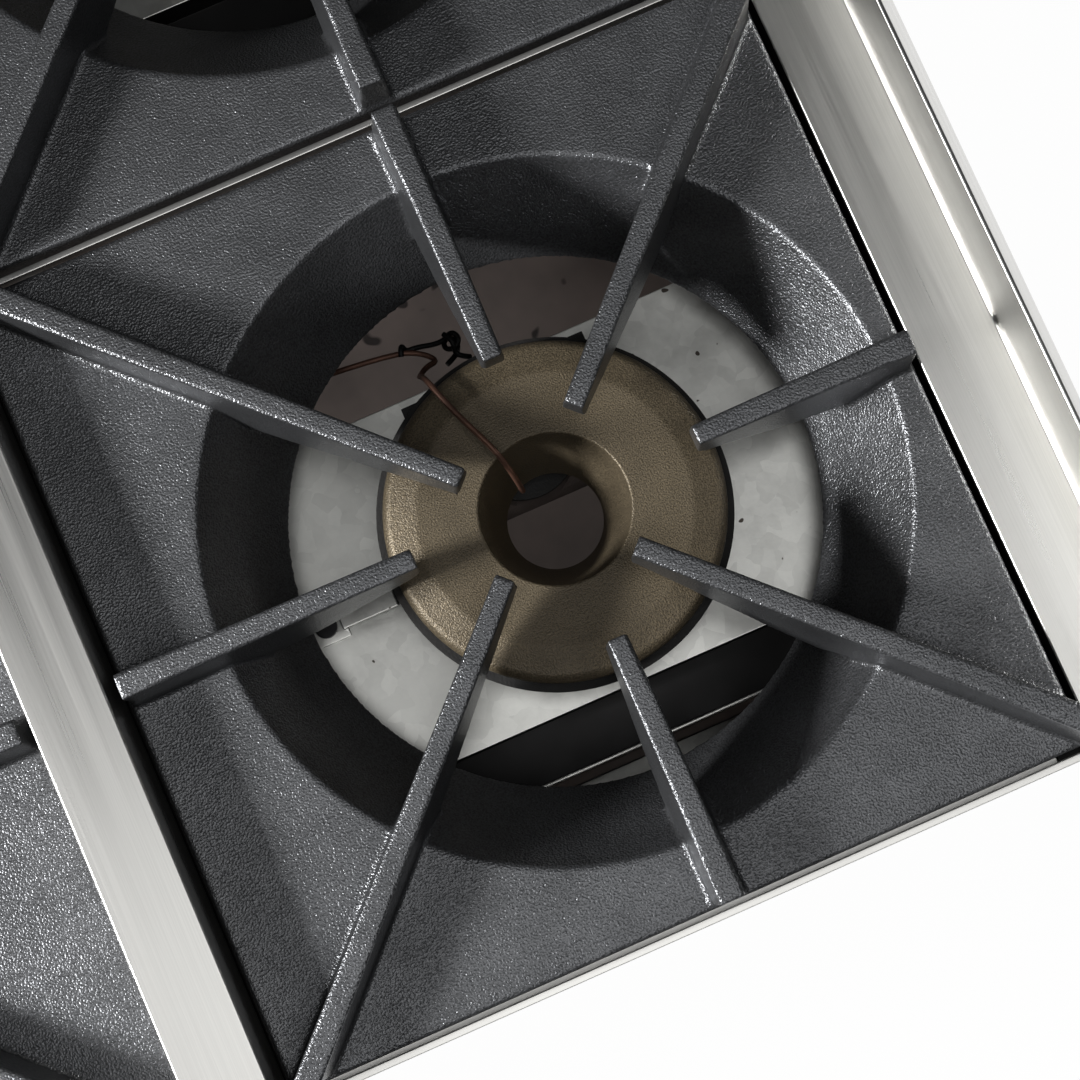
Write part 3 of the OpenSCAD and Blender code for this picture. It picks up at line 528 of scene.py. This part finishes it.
def start_finish(name, **values):
    """A material, its node tree, its shader and the piece's own coordinates."""
    material = bpy.data.materials.new(name)
    material.use_nodes = True
    tree = material.node_tree
    tree.nodes.clear()
    shader = add(tree, "ShaderNodeBsdfPrincipled", values)
    add(tree, "ShaderNodeOutputMaterial", links={"Surface": shader.outputs["BSDF"]})
    place = add(tree, "ShaderNodeTexCoord").outputs["Object"]
    MADE[name] = material
    return material, tree, shader, place


def coat(tree, shader, colour, roughness, layers):
    """Gives the shader its colour, its roughness and bumps of (height, depth in metres, strength)."""
    tree.links.new(colour, shader.inputs["Base Color"])
    tree.links.new(roughness, shader.inputs["Roughness"])
    links = {}
    for height, depth, strength in layers:
        links["Height"] = height
        bump = add(tree, "ShaderNodeBump", {"Distance": depth, "Strength": strength}, links)
        links["Normal"] = bump.outputs["Normal"]
    tree.links.new(links["Normal"], shader.inputs["Normal"])


def sand_cast_iron(colours):
    # Grey iron as it leaves the sand, blasted and oiled: dark, with a grain near 0.7 mm that glints
    material, tree, shader, place = start_finish("sand_cast_iron", Metallic=0.8)
    grain = noise(tree, place, 1500, 1)
    tone = shades(tree, noise(tree, place, 60, 3), colours.grate, [(0.3, 0.86), (0.7, 1.12)])
    pits = ramp(tree, grain, [(0.34, (0.7, 0.7, 0.7)), (0.5, (1, 1, 1)), (0.7, (1.2, 1.2, 1.22))])
    coat(tree, shader, mixed(tree, tone, pits), spread(tree, noise(tree, place, 22), 0.3, 0.38),
         [(noise(tree, place, 150), 0.5 * MM, 0.3), (grain, 0.3 * MM, 1.0)])
    return material


def baked_cast_iron(colours):
    # Fine-grained iron with a baked bronze-brown skin: speckled, softly shining, darker in its pores
    material, tree, shader, place = start_finish("baked_cast_iron", Metallic=0.4)
    grain = noise(tree, place, 2000, 1)
    tone = shades(tree, noise(tree, place, 55, 4), colours.burner, [(0.32, 0.85), (0.55, 1), (0.72, 1.15)])
    speckle = ramp(tree, grain, [(0.34, (0.66, 0.65, 0.63)), (0.5, (1, 1, 1)), (0.7, (1.35, 1.32, 1.25))])
    coat(tree, shader, mixed(tree, tone, speckle), spread(tree, grain, 0.38, 0.5),
         [(noise(tree, place, 120), 0.4 * MM, 0.2), (grain, 0.2 * MM, 1.0)])
    return material


def sooted_and_shaded_cast_iron(colours):
    # The same iron, near black and matt above the shelf: soot, and painted shade of the gap under the
    # burner's disc; greasy brown below the shelf
    material, tree, shader, place = start_finish("sooted_and_shaded_cast_iron")
    patch = noise(tree, place, 45, 3)
    soot_and_shade = ramp(tree, patch, [(0.35, linear("#0a0908")), (0.65, linear("#15120f"))])
    grease = shades(tree, patch, colours.tray, [(0.35, 0.7), (0.65, 1)])
    height = add(tree, "ShaderNodeSeparateXYZ", links={"Vector": place}).outputs["Z"]
    over_shelf = spread(tree, height, 0, 1, PLATE_Z - 51 * MM, PLATE_Z - 48 * MM)
    coat(tree, shader, mixed(tree, grease, soot_and_shade, over_shelf, "MIX"), spread(tree, patch, 0.6, 0.8),
         [(noise(tree, place, 1100, 3, 0.6), 0.25 * MM, 0.7)])
    return material


def brushed_stainless(colours, name, along):
    # Stainless sheet brushed with a belt: fine streaks that run along the fold and draw reflections out
    material, tree, shader, place = start_finish(name, Metallic=1.0)
    # Streaks 0.35 mm apart and 60 mm long, drawn a little coarser than the belt leaves them
    streak = noise(tree, drawn_out(tree, place, 2800, 16, along), 1, 3, 0.55)
    band = noise(tree, drawn_out(tree, place, 160, 6, along), 1)
    rough = add(tree, "ShaderNodeMath", {}, {0: spread(tree, streak, 0.26, 0.3),
                                             1: spread(tree, band, 0.0, 0.07)}, operation="ADD")
    tone = shades(tree, streak, colours.stainless, [(0.3, 0.94), (0.7, 1.03)])
    coat(tree, shader, tone, rough.outputs[0],
         [(streak, 0.012 * MM, 0.3), (noise(tree, place, 14), 0.6 * MM, 0.08)])
    return material


def aluminised_sheet(colours):
    # Hot-dipped sheet: a pale satin skin with soft spangles 5 mm across, rub marks and a few burnt specks
    material, tree, shader, place = start_finish("aluminised_sheet", Metallic=0.9)
    wobble = add(tree, "ShaderNodeTexNoise", {"Scale": 120, "Detail": 2}, {"Vector": place})
    small = add(tree, "ShaderNodeVectorMath", {"Scale": 0.006}, {0: wobble.outputs["Color"]},
                operation="SCALE")
    bent = add(tree, "ShaderNodeVectorMath", {}, {0: place, 1: small.outputs[0]}, operation="ADD")
    spangle = add(tree, "ShaderNodeTexVoronoi", {"Scale": 190}, {"Vector": bent.outputs[0]})
    flat = add(tree, "ShaderNodeSeparateColor", links={"Color": spangle.outputs["Color"]}).outputs[0]
    facet = ramp(tree, flat, [(0.0, (0.86, 0.86, 0.86)), (1.0, (1, 1, 1))])
    cloud = noise(tree, place, 34, 5, 0.6)
    tone = shades(tree, cloud, colours.aluminised, [(0.3, 0.72), (0.5, 0.95), (0.7, 1.1)])
    specks = ramp(tree, noise(tree, place, 230, 1), [(0.222, (0.12, 0.10, 0.09)), (0.236, (1, 1, 1))])
    coat(tree, shader, mixed(tree, mixed(tree, tone, facet), specks), spread(tree, cloud, 0.28, 0.38),
         [(cloud, 0.5 * MM, 0.12), (noise(tree, place, 900), 0.05 * MM, 0.3)])
    return material


def greased_steel(colours):
    # Drip tray of dark steel under a film of grease: smooth, smeared, with scattered burnt spots
    material, tree, shader, place = start_finish("greased_steel", Metallic=0.2)
    smear = noise(tree, place, 18, 4, 0.6)
    tone = shades(tree, smear, colours.tray, [(0.3, 0.6), (0.7, 1.2)])
    burnt = ramp(tree, noise(tree, place, 95, 1), [(0.70, (1, 1, 1)), (0.74, (0.12, 0.10, 0.10))])
    coat(tree, shader, mixed(tree, tone, burnt), spread(tree, smear, 0.30, 0.50), [(smear, 0.4 * MM, 0.15)])
    return material


def worn_metal(name, colour, dark, low, high, scale, metallic=1.0):
    """A drawn or turned metal with soft patches of a darker skin."""
    material, tree, shader, place = start_finish(name, Metallic=metallic)
    patch = noise(tree, place, scale, 3)
    coat(tree, shader, shades(tree, patch, colour, [(0.35, dark), (0.65, 1)]),
         spread(tree, patch, high, low), [(noise(tree, place, 1100), 0.04 * MM, 0.25)])
    return material


def moulded_phenolic(colours):
    # Pressed thermoset of the knobs: near black, satin, with a faint moulding grain
    material, tree, shader, place = start_finish("moulded_phenolic")
    soft = noise(tree, place, 45)
    coat(tree, shader, shades(tree, soft, colours.knob, [(0.3, 0.85), (0.7, 1.25)]),
         spread(tree, soft, 0.32, 0.46), [(noise(tree, place, 1500), 0.05 * MM, 0.3)])
    return material


def painted_pipe(name, colour):
    # Iron pipe under thin black paint: an orange-peel skin that shines softly
    material, tree, shader, place = start_finish(name)
    soft = noise(tree, place, 40, 3)
    coat(tree, shader, shades(tree, soft, colour, [(0.3, 0.8), (0.7, 1.2)]), spread(tree, soft, 0.36, 0.50),
         [(noise(tree, place, 420), 0.08 * MM, 0.35)])
    return material


def finish(name):
    """The finish of that name, made when it is first asked for."""
    if name not in MADE:
        colours = bpy.context.scene.hotplate_colours
        {
            "sand_cast_iron": lambda: sand_cast_iron(colours),
            "baked_cast_iron": lambda: baked_cast_iron(colours),
            "sooted_and_shaded_cast_iron": lambda: sooted_and_shaded_cast_iron(colours),
            "stainless_along_depth": lambda: brushed_stainless(colours, name, 1),
            "stainless_along_width": lambda: brushed_stainless(colours, name, 0),
            "aluminised_sheet": lambda: aluminised_sheet(colours),
            "greased_steel": lambda: greased_steel(colours),
            # Soft copper tube, darkened by the pilot flame
            "darkened_copper": lambda: worn_metal(name, colours.copper, 0.5, 0.42, 0.6, 140, 0.6),
            # Free-turning brass, dulled by handling
            "turned_brass": lambda: worn_metal(name, colours.brass, 0.72, 0.24, 0.4, 90),
            # Drawn aluminium tube with a satin skin
            "drawn_aluminium": lambda: worn_metal(name, linear("#c4c4c2"), 0.85, 0.3, 0.42, 60),
            # Nickel-plated steel, bright, with a few dull patches
            "plated_steel": lambda: worn_metal(name, linear("#c9c8c4"), 0.86, 0.16, 0.28, 70),
            "moulded_phenolic": lambda: moulded_phenolic(colours),
            "black_pipe_paint": lambda: painted_pipe(name, colours.pipe),
            # Enamel filled into the pointer line of a knob
            "filled_mark": lambda: painted_pipe(name, colours.mark),
            # Near-black sheet: painted shade on the walls, steps and hollows that lie in shade
            "painted_shade_sheet": lambda: worn_metal(name, linear("#1d1c1c"), 0.7, 0.5, 0.65, 35, 0.4),
            # Annealed iron wire with a thin scale
            "annealed_wire": lambda: worn_metal(name, colours.wire, 0.6, 0.4, 0.6, 300, 0.5),
            # Steel screw, blackened in oil
            "blackened_screw": lambda: worn_metal(name, linear("#2a2a2b"), 0.6, 0.35, 0.5, 200, 0.7),
        }[name]()
    return MADE[name]


# Studio: side of the floor and share of pure white that the camera sees on it, distance of the key light,
# places and sides of the other two lamps, from the left rear burner and from the origin, in metres
FLOOR_SIDE = 9
FLOOR_WHITE = 0.98
KEY_DISTANCE = 1.35
OVERHEAD_PLACE = (-0.05, 0.47, 1.55)
OVERHEAD_SIDE = 1.16
BOUNCE_PLACE = (0, -50 * MM, PLATE_Z - 78 * MM)
BOUNCE_SIDE = 0.42


class HOTPLATE_OT_stage(bpy.types.Operator):
    """Sets the floor, the lamps and the camera"""
    bl_idname = "hotplate.stage"
    bl_label = "Stage"

    def execute(self, context):
        stage = context.scene.hotplate_stage
        deselect()
        bpy.ops.mesh.primitive_plane_add(size=FLOOR_SIDE, location=(0, 0, 0))
        floor = context.object
        floor.name = "floor"
        # A plain pale floor that lights the pieces as it is, and looks white to the camera
        material, tree, shader, place = start_finish("pale_floor", Roughness=0.75)
        tone = shades(tree, noise(tree, place, 3), context.scene.hotplate_colours.floor,
                      [(0.3, 0.985), (0.7, 1)])
        tree.links.new(tone, shader.inputs["Base Color"])
        seen = self.seen_by(tree, "Is Camera Ray", "Is Glossy Ray", "Is Transmission Ray")
        share = add(tree, "ShaderNodeMath", {1: FLOOR_WHITE}, {0: seen}, operation="MULTIPLY")
        glow = add(tree, "ShaderNodeEmission", {"Color": (1, 1, 1, 1), "Strength": 1.0})
        both = add(tree, "ShaderNodeMixShader", {},
                   {0: share.outputs[0], 1: shader.outputs[0], 2: glow.outputs[0]})
        tree.links.new(both.outputs[0], tree.nodes["Material Output"].inputs["Surface"])
        floor.data.materials.append(material)

        deselect()
        bpy.ops.object.camera_add(location=stage.camera_place, rotation=stage.camera_turn)
        camera = context.object
        camera.name = "camera"
        camera.data.lens = stage.lens
        camera.data.sensor_width = 36
        camera.data.clip_start = 0.01
        camera.data.clip_end = 50
        context.scene.camera = camera

        world = bpy.data.worlds.new("even_studio")
        context.scene.world = world
        world.use_nodes = True
        tree = world.node_tree
        tree.nodes.clear()
        even = add(tree, "ShaderNodeBackground", {"Color": (0.94, 0.97, 1, 1), "Strength": stage.sky})
        white = add(tree, "ShaderNodeBackground", {"Color": (1, 1, 1, 1), "Strength": 1})
        both = add(tree, "ShaderNodeMixShader", {}, {
            0: self.seen_by(tree, "Is Camera Ray", "Is Transmission Ray"),
            1: even.outputs[0], 2: white.outputs[0]})
        add(tree, "ShaderNodeOutputWorld", links={"Surface": both.outputs[0]})

        target = burner_centre("rear_left")
        key = target + KEY_DISTANCE * Vector(stage.key_turn).normalized()
        self.lamp("key_lamp", key, target, stage.key_size, stage.key_power)
        down = Vector((0, 0, -1))
        overhead = target + Vector(OVERHEAD_PLACE)
        self.lamp("overhead_lamp", overhead, overhead + down, OVERHEAD_SIDE, stage.fill_power)
        bounce = Vector(BOUNCE_PLACE)
        self.lamp("bounce_lamp", bounce, bounce + down, BOUNCE_SIDE, stage.bounce_power)
        context.scene.view_settings.view_transform = "Standard"
        return {"FINISHED"}

    def seen_by(self, tree, *rays):
        """1 for the rays of these kinds, 0 for all others."""
        path = add(tree, "ShaderNodeLightPath")
        seen = path.outputs[rays[0]]
        for ray in rays[1:]:
            seen = add(tree, "ShaderNodeMath", {}, {0: seen, 1: path.outputs[ray]},
                       operation="MAXIMUM").outputs[0]
        return seen

    def lamp(self, name, place, target, size, power):
        deselect()
        bpy.ops.object.light_add(type="AREA", location=place,
                                 rotation=(place - target).to_track_quat("Z", "Y").to_euler())
        lamp = bpy.context.object
        lamp.name = name
        lamp.data.shape = "SQUARE"
        lamp.data.size = size
        lamp.data.energy = power


class HOTPLATE_OT_grates(bpy.types.Operator):
    """Casts the four bowl grates with their eight arms"""
    bl_idname = "hotplate.grates"
    bl_label = "Grates"

    def execute(self, context):
        sizes = context.scene.hotplate_sizes
        casting = cast("grate_rear_left", "grate_casting", sizes.grain, sizes.softness, share=0.72)
        for place, piece in each_burner(casting, "bowl_grate").items():
            hand_over(piece, finish("sand_cast_iron"), "grate_" + place)
        return {"FINISHED"}


class HOTPLATE_OT_burners(bpy.types.Operator):
    """Turns the burner heads with their funnels and casts the bodies under them"""
    bl_idname = "hotplate.burners"
    bl_label = "Burners"

    def execute(self, context):
        low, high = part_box("burner_head_rear_left")
        top = (high.z - PLATE_Z) / MM
        foot = (low.z - PLATE_Z) / MM
        rim = (high.x - low.x) / 2 / MM
        # Flat face, sloping shoulder, rounded rim and the funnel for the air
        profile = [(14.8, foot), (22.7, top), (rim - 10.4, top), (rim - 1.9, top - 1.9), (rim, top - 4.2),
                   (rim - 0.8, top - 8.5), (rim - 7, top - 8.5), (rim - 8, top - 5.2), (28, top - 5.2),
                   (19.1, foot + 8), (19.1, foot), (14.8, foot)]
        head = turned("burner_head", profile, {1: 0.6, 2: 0.8, 3: 1.0, 4: 1.2, 5: 0.6},
                      at_burner((0, 0, 0)), steps=128)
        for place, piece in each_burner(head, "ring_head").items():
            hand_over(piece, finish("baked_cast_iron"), "burner_head_" + place)
        body = eased("burner_body_rear_left", "burner_body", 0.5 * MM)
        for place, piece in each_burner(body, "burner_casting").items():
            hand_over(piece, finish("sooted_and_shaded_cast_iron"), "burner_body_" + place)
        return {"FINISHED"}


class HOTPLATE_OT_divider(bpy.types.Operator):
    """Folds the raised divider between the columns"""
    bl_idname = "hotplate.divider"
    bl_label = "Divider"

    def execute(self, context):
        sizes = context.scene.hotplate_sizes
        low, high = [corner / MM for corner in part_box("column_divider")]
        # The walls stand a little nearer to the grates than those of the solid, as in the photograph
        wall = high.x - REST_WIDTH + 0.3
        rest = low.z + sizes.sheet / MM
        fold = sizes.divider_fold
        piece = folded_sheet(
            "divider", [(low.x, rest), (-wall, rest), (-wall, high.z),
                        (wall, high.z), (wall, rest), (high.x, rest)],
            "Y", low.y, high.y, {1: 0.8 * MM, 2: fold, 3: fold, 4: 0.8 * MM}, (0, 0, 1), sizes.sheet,
            closed=lambda co: abs(co.x) <= wall * MM + NEAR)
        # Painted shade: the walls and the rests are near black up to just under the fold, for the shade in
        # the gaps beside the grates
        rests = PLATE_Z - 3 * MM
        paint_shade(piece, finish("stainless_along_depth"), finish("painted_shade_sheet"),
                lambda f: f.calc_center_median().z < rests)
        hand_over(piece, None, "column_divider")
        bars = eased("row_bars", "row_bar_pair", 0.35 * MM)
        hand_over(bars, finish("stainless_along_width"), "row_bars")
        return {"FINISHED"}


class HOTPLATE_OT_guards(bpy.types.Operator):
    """Folds the side strips and the guards that rise towards the back"""
    bl_idname = "hotplate.guards"
    bl_label = "Side guards"

    def execute(self, context):
        sizes = context.scene.hotplate_sizes
        low, high = [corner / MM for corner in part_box("side_guard_right")]
        plate = PLATE_Z / MM
        ledge = low.z + sizes.sheet / MM
        # The strip's edge stands nearer to the grates than that of the solid, as in the photograph
        edge = low.x + REST_WIDTH - 0.8
        # The guard leans out from its foot, and is lower at the front
        wall = high.x - 14.8
        front_top = plate + 27.5

        def rising(co):
            if co.z > PLATE_Z + 20 * MM:
                share = (co.y / MM - low.y) / (high.y - low.y)
                co.z += share * (high.z - front_top) * MM
            return co

        profile = [(low.x, ledge), (edge, ledge), (edge, plate), (wall, plate), (wall, front_top),
                   (wall + 1.5, front_top), (high.x, plate - 8), (high.x, plate - 10)]
        folds = {1: 0.8 * MM, 2: sizes.strip_fold, 3: sizes.guard_fold,
                 4: 0.7 * MM, 5: 0.7 * MM, 6: 1.2 * MM}
        for side, name in ((1, "right"), (-1, "left")):
            piece = folded_sheet(
                "side_strip_" + name, [(side * x, z) for x, z in profile], "Y", low.y, high.y, folds,
                (0, 0, 1), sizes.sheet, shape=rising,
                closed=lambda co: abs(co.x) >= wall * MM - NEAR)
            # Painted shade: the strip's edge that drops beside the grate, and the ledge under it, are near
            # black
            paint_shade(piece, finish("stainless_along_depth"), finish("painted_shade_sheet"),
                    lambda f: abs(f.calc_center_median().x) < (edge + 0.6) * MM
                    and f.calc_center_median().z < PLATE_Z - 1.5 * MM)
            hand_over(piece, None, "side_guard_" + name)
        return {"FINISHED"}


class HOTPLATE_OT_ledge(bpy.types.Operator):
    """Rolls the front ledge over the knobs"""
    bl_idname = "hotplate.ledge"
    bl_label = "Front ledge"

    def execute(self, context):
        sizes = context.scene.hotplate_sizes
        low, high = [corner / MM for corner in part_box("front_ledge")]
        plate = PLATE_Z / MM
        thickness = 1.5
        back = PANEL_Y / MM + thickness
        wall = high.y - REST_WIDTH
        rest = plate - 12
        # The nose is all but a full round
        nose_fold = (NOSE / 2 - 0.1) * MM
        piece = folded_sheet(
            "rolled_ledge", [(back, plate - NOSE), (low.y, plate - NOSE), (low.y, plate), (back, plate),
                             (wall, plate), (wall, rest)],
            "X", low.x, high.x, {1: nose_fold, 2: nose_fold, 4: 1.4 * MM}, (0, 0, -1), thickness * MM,
            closed=lambda co: co.y <= back * MM + NEAR)
        # Behind the ledge a flange for each column, a little short of divider and side strip
        short = 0.3
        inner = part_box("column_divider")[1].x / MM + short
        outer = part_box("side_guard_right")[0].x / MM - short
        rests = []
        for start, end in ((-outer, -inner), (inner, outer)):
            rests.append(folded_sheet(
                "grate_rest", [(wall - 1.4, plate - 40), (wall - 1.4, rest), (wall + REST_WIDTH, rest)],
                "X", start, end, {1: 0.8 * MM}, (0, 1, 0), sizes.sheet))
            # The flange ends level with the wall in front of it
            for vertex in rests[-1].data.vertices:
                vertex.co.z = max(vertex.co.z, (low.z + 27.8) * MM)
        hand_over(join([piece] + rests, "rolled_ledge"), finish("stainless_along_width"), "front_ledge")
        return {"FINISHED"}


class HOTPLATE_OT_panels(bpy.types.Operator):
    """Makes the panels, the shelves, the pan and the drip tray"""
    bl_idname = "hotplate.panels"
    bl_label = "Panels and shelves"

    def execute(self, context):
        edge = context.scene.hotplate_sizes.panel_edge
        for node, material in (
                ("side_panel_left", "stainless_along_depth"), ("side_panel_right", "stainless_along_depth"),
                ("control_panel", "stainless_along_width"), ("rear_panel", "stainless_along_width"),
                ("bottom_pan", "aluminised_sheet"), ("centre_support", "aluminised_sheet")):
            hand_over(eased(node, node + "_sheet", edge), finish(material), node)
        tray = eased("drip_tray", "drip_tray_sheet", edge)
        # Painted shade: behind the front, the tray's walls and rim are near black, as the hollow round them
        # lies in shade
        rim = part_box("drip_tray")[1].z - 3 * MM
        paint_shade(tray, finish("greased_steel"), finish("painted_shade_sheet"),
                lambda f: (abs(f.normal.z) < 0.7 or f.calc_center_median().z > rim)
                and f.calc_center_median().y > PANEL_Y + 20 * MM)
        hand_over(tray, None, "drip_tray")
        for node in ("burner_shelf_front", "burner_shelf_rear"):
            piece = eased(node, node + "_sheet", edge)
            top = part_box(node)[1].z
            # Painted shade: below its bend the shelf is near black, for the step that lies in shade
            paint_shade(piece, finish("aluminised_sheet"), finish("painted_shade_sheet"),
                    lambda f: self.takes_painted_shade(f, top))
            hand_over(piece, None, node)
        return {"FINISHED"}

    def takes_painted_shade(self, face, top):
        """Whether a face of a shelf lies below its bend, apart from the edge of the lip behind it, and so
        takes painted shade.
        """
        centre = face.calc_center_median()
        drop = top - centre.z
        on_lip = drop < 10.6 * MM and face.normal.z > 0.3
        return drop > 2.5 * MM and not on_lip


class HOTPLATE_OT_knobs(bpy.types.Operator):
    """Moulds the four knobs on their stems"""
    bl_idname = "hotplate.knobs"
    bl_label = "Knobs"

    def execute(self, context):
        grip = context.scene.hotplate_sizes.knob_grip / MM
        for place in PLACES:
            low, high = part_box("knob_" + place)
            centre = Vector(((low.x + high.x) / 2, high.y, (low.z + high.z) / 2))
            rim = (high.x - low.x) / 2 / MM
            depth = (high.y - low.y) / MM
            # Bore for the stem, flat back, rounded skirt and the hub that carries the bar
            profile = [(0, 9), (4.3, 9), (4.3, 0), (rim, 0), (rim, 2.6), (rim - 1.8, 7.2), (rim - 5.4, 8.4),
                       (rim - 7, depth - 4), (rim - 9.5, depth - 3), (0, depth - 3)]
            skirt = turned("knob_skirt", profile, {3: 0.5, 4: 0.8, 5: 1.4, 6: 1.5, 7: 1.6, 8: 0.8}, centre,
                           steps=72, to_front=True)
            bar = self.bar(centre, rim - 1.6, grip / 2, depth)
            mark = self.mark(centre, rim - 1.6, depth)
            skirt.data.materials.append(finish("moulded_phenolic"))
            bar.data.materials.append(finish("moulded_phenolic"))
            mark.data.materials.append(finish("filled_mark"))
            hand_over(join([skirt, bar, mark], "control_knob_" + place), None, "knob_" + place)
            stem = eased("valve_stem_" + place, "stem_" + place, 0.5 * MM)
            hand_over(stem, finish("turned_brass"), "valve_stem_" + place)
        return {"FINISHED"}

    def bar(self, centre, reach, half, depth):
        """The bar that fingers turn, narrower at its top."""
        deselect()
        bpy.ops.mesh.primitive_cube_add(size=2)
        bar = bpy.context.object
        for vertex in bar.data.vertices:
            front = vertex.co.y < 0
            vertex.co = Vector((
                vertex.co.x * (half - (1.2 if front else 0)),
                -(depth if front else 5),
                vertex.co.z * (reach - (2.5 if front else 0)))) * MM
        apply(bar, "BEVEL", width=1.6 * MM, segments=4, limit_method="ANGLE")
        bar.data.transform(Matrix.Translation(centre))
        smooth(bar, 40)
        return bar

    def mark(self, centre, reach, depth):
        """The pointer line let into the top of the bar."""
        deselect()
        bpy.ops.mesh.primitive_cube_add(size=2)
        mark = bpy.context.object
        for vertex in mark.data.vertices:
            vertex.co = Vector((
                vertex.co.x * 0.9,
                -(depth + 0.02 if vertex.co.y < 0 else depth - 1),
                vertex.co.z * (reach / 2 - 4) + reach / 2 + 0.5)) * MM
        apply(mark, "BEVEL", width=0.3 * MM, segments=2, limit_method="ANGLE")
        mark.data.transform(Matrix.Translation(centre))
        smooth(mark, 40)
        return mark


class HOTPLATE_OT_gas_line(bpy.types.Operator):
    """Makes the manifold, the inlet, the valves and the feed tubes"""
    bl_idname = "hotplate.gas_line"
    bl_label = "Gas line"

    def execute(self, context):
        for node in ("manifold_pipe", "inlet_pipe"):
            hand_over(eased(node, node + "_iron", 0.6 * MM), finish("black_pipe_paint"), node)
        for place in PLACES:
            hand_over(eased("gas_valve_" + place, "valve_" + place, 0.5 * MM), finish("turned_brass"),
                      "gas_valve_" + place)
            hand_over(eased("feed_tube_" + place, "feed_" + place, 0.3 * MM, angle=60),
                      finish("drawn_aluminium"), "feed_tube_" + place)
        return {"FINISHED"}


class HOTPLATE_OT_pilots(bpy.types.Operator):
    """Bends the pilot tubes and twists the wire round them"""
    bl_idname = "hotplate.pilots"
    bl_label = "Pilot tubes and wire"

    def execute(self, context):
        for place in PLACES:
            piece = copy_of("pilot_tube_" + place, "pilot_" + place)
            smooth(piece, 60)
            hand_over(piece, finish("darkened_copper"), "pilot_tube_" + place)
        wires = []
        for name, route in (("twisted_wire", TIE_ROUTE), ("wire_end", TIE_END)):
            wire = tube(name, softened([at_burner(p) for p in route]), 0.85 * MM)
            wires += each_burner(wire, name).values()
        hand_over(join(wires, "twisted_wires"), finish("annealed_wire"), "wire_ties")
        return {"FINISHED"}


class HOTPLATE_OT_fasteners(bpy.types.Operator):
    """Makes the burner straps and all the screws"""
    bl_idname = "hotplate.fasteners"
    bl_label = "Straps and screws"

    def execute(self, context):
        for node, name, material in (("burner_straps", "strap_set", "aluminised_sheet"),
                                     ("shelf_screws", "shelf_screw_set", "blackened_screw"),
                                     ("panel_screws", "panel_screw_set", "plated_steel")):
            hand_over(eased(node, name, 0.4 * MM), finish(material), node)
        return {"FINISHED"}


class HOTPLATE_OT_legs(bpy.types.Operator):
    """Turns the legs and their screw feet"""
    bl_idname = "hotplate.legs"
    bl_label = "Legs and feet"

    def execute(self, context):
        for place in PLACES:
            low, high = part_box("leg_" + place)
            centre = Vector(((low.x + high.x) / 2, (low.y + high.y) / 2, 0))
            z, top = low.z / MM, high.z / MM
            # Threaded bore, foot, two rings, the taper and the flange under the pan
            profile = [(8.05, top - 34), (8.05, z), (15.4, z), (16, z + 1), (16.3, z + 9), (15.3, z + 10),
                       (15.3, z + 12), (16.4, z + 13), (18.9, top - 8), (20.5, top - 5), (27, top - 4.4),
                       (27, top), (0, top), (0, top - 34), (8.05, top - 34)]
            leg = turned("turned_leg_" + place, profile, {3: 0.5, 4: 0.4, 7: 0.4, 8: 1.6, 9: 1.2, 10: 0.6},
                         centre, steps=72)
            hand_over(leg, finish("plated_steel"), "leg_" + place)
            low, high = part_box("foot_" + place)
            stud = high.z / MM
            pad = (high.x - low.x) / 2 / MM
            # Thread of the stud, pitch 2 mm, drawn as rings
            thread = [(7.2 + 0.75 * (k % 2), 13 + k) for k in range(int(stud) - 14)]
            profile = [(0, 0), (pad - 1, 0), (pad, 1), (pad, 3.4), (pad - 1.2, 4.2), (13.5, 5),
                       (13.5, 11.4), (12.6, 12), (7.2, 12)] + thread + [(6.4, stud), (0, stud)]
            foot = turned("screw_foot_" + place, profile, {2: 0.5, 3: 0.6}, centre, steps=48)
            hand_over(foot, finish("black_pipe_paint"), "foot_" + place)
        return {"FINISHED"}


class HOTPLATE_PT_sidebar(bpy.types.Panel):
    """Lists the steps that make the hotplate"""
    bl_label = "Hotplate"
    bl_idname = "HOTPLATE_PT_sidebar"
    bl_space_type = "VIEW_3D"
    bl_region_type = "UI"
    bl_category = "Hotplate"

    def draw(self, context):
        for group in ("hotplate_sizes", "hotplate_colours", "hotplate_stage"):
            settings = getattr(context.scene, group)
            column = self.layout.column(align=True)
            for name in settings.bl_rna.properties.keys():
                if name not in ("rna_type", "name"):
                    column.prop(settings, name)
        for step in STEPS:
            self.layout.operator(step.bl_idname)


STEPS = (
    HOTPLATE_OT_stage, HOTPLATE_OT_grates, HOTPLATE_OT_burners, HOTPLATE_OT_divider, HOTPLATE_OT_guards,
    HOTPLATE_OT_ledge, HOTPLATE_OT_panels, HOTPLATE_OT_knobs, HOTPLATE_OT_gas_line, HOTPLATE_OT_pilots,
    HOTPLATE_OT_fasteners, HOTPLATE_OT_legs,
)
GROUPS = (
    ("hotplate_sizes", HotplateSizes), ("hotplate_colours", HotplateColours),
    ("hotplate_stage", HotplateStage),
)


def register():
    for name, group in GROUPS:
        bpy.utils.register_class(group)
        setattr(bpy.types.Scene, name, bpy.props.PointerProperty(type=group))
    for step in STEPS:
        bpy.utils.register_class(step)
    bpy.utils.register_class(HOTPLATE_PT_sidebar)


def unregister():
    bpy.utils.unregister_class(HOTPLATE_PT_sidebar)
    for step in reversed(STEPS):
        bpy.utils.unregister_class(step)
    for name, group in reversed(GROUPS):
        delattr(bpy.types.Scene, name)
        bpy.utils.unregister_class(group)


def main():
    register()
    for step in STEPS:
        category, name = step.bl_idname.split(".")
        getattr(getattr(bpy.ops, category), name)()
    deselect()


if __name__ == "__main__":
    main()
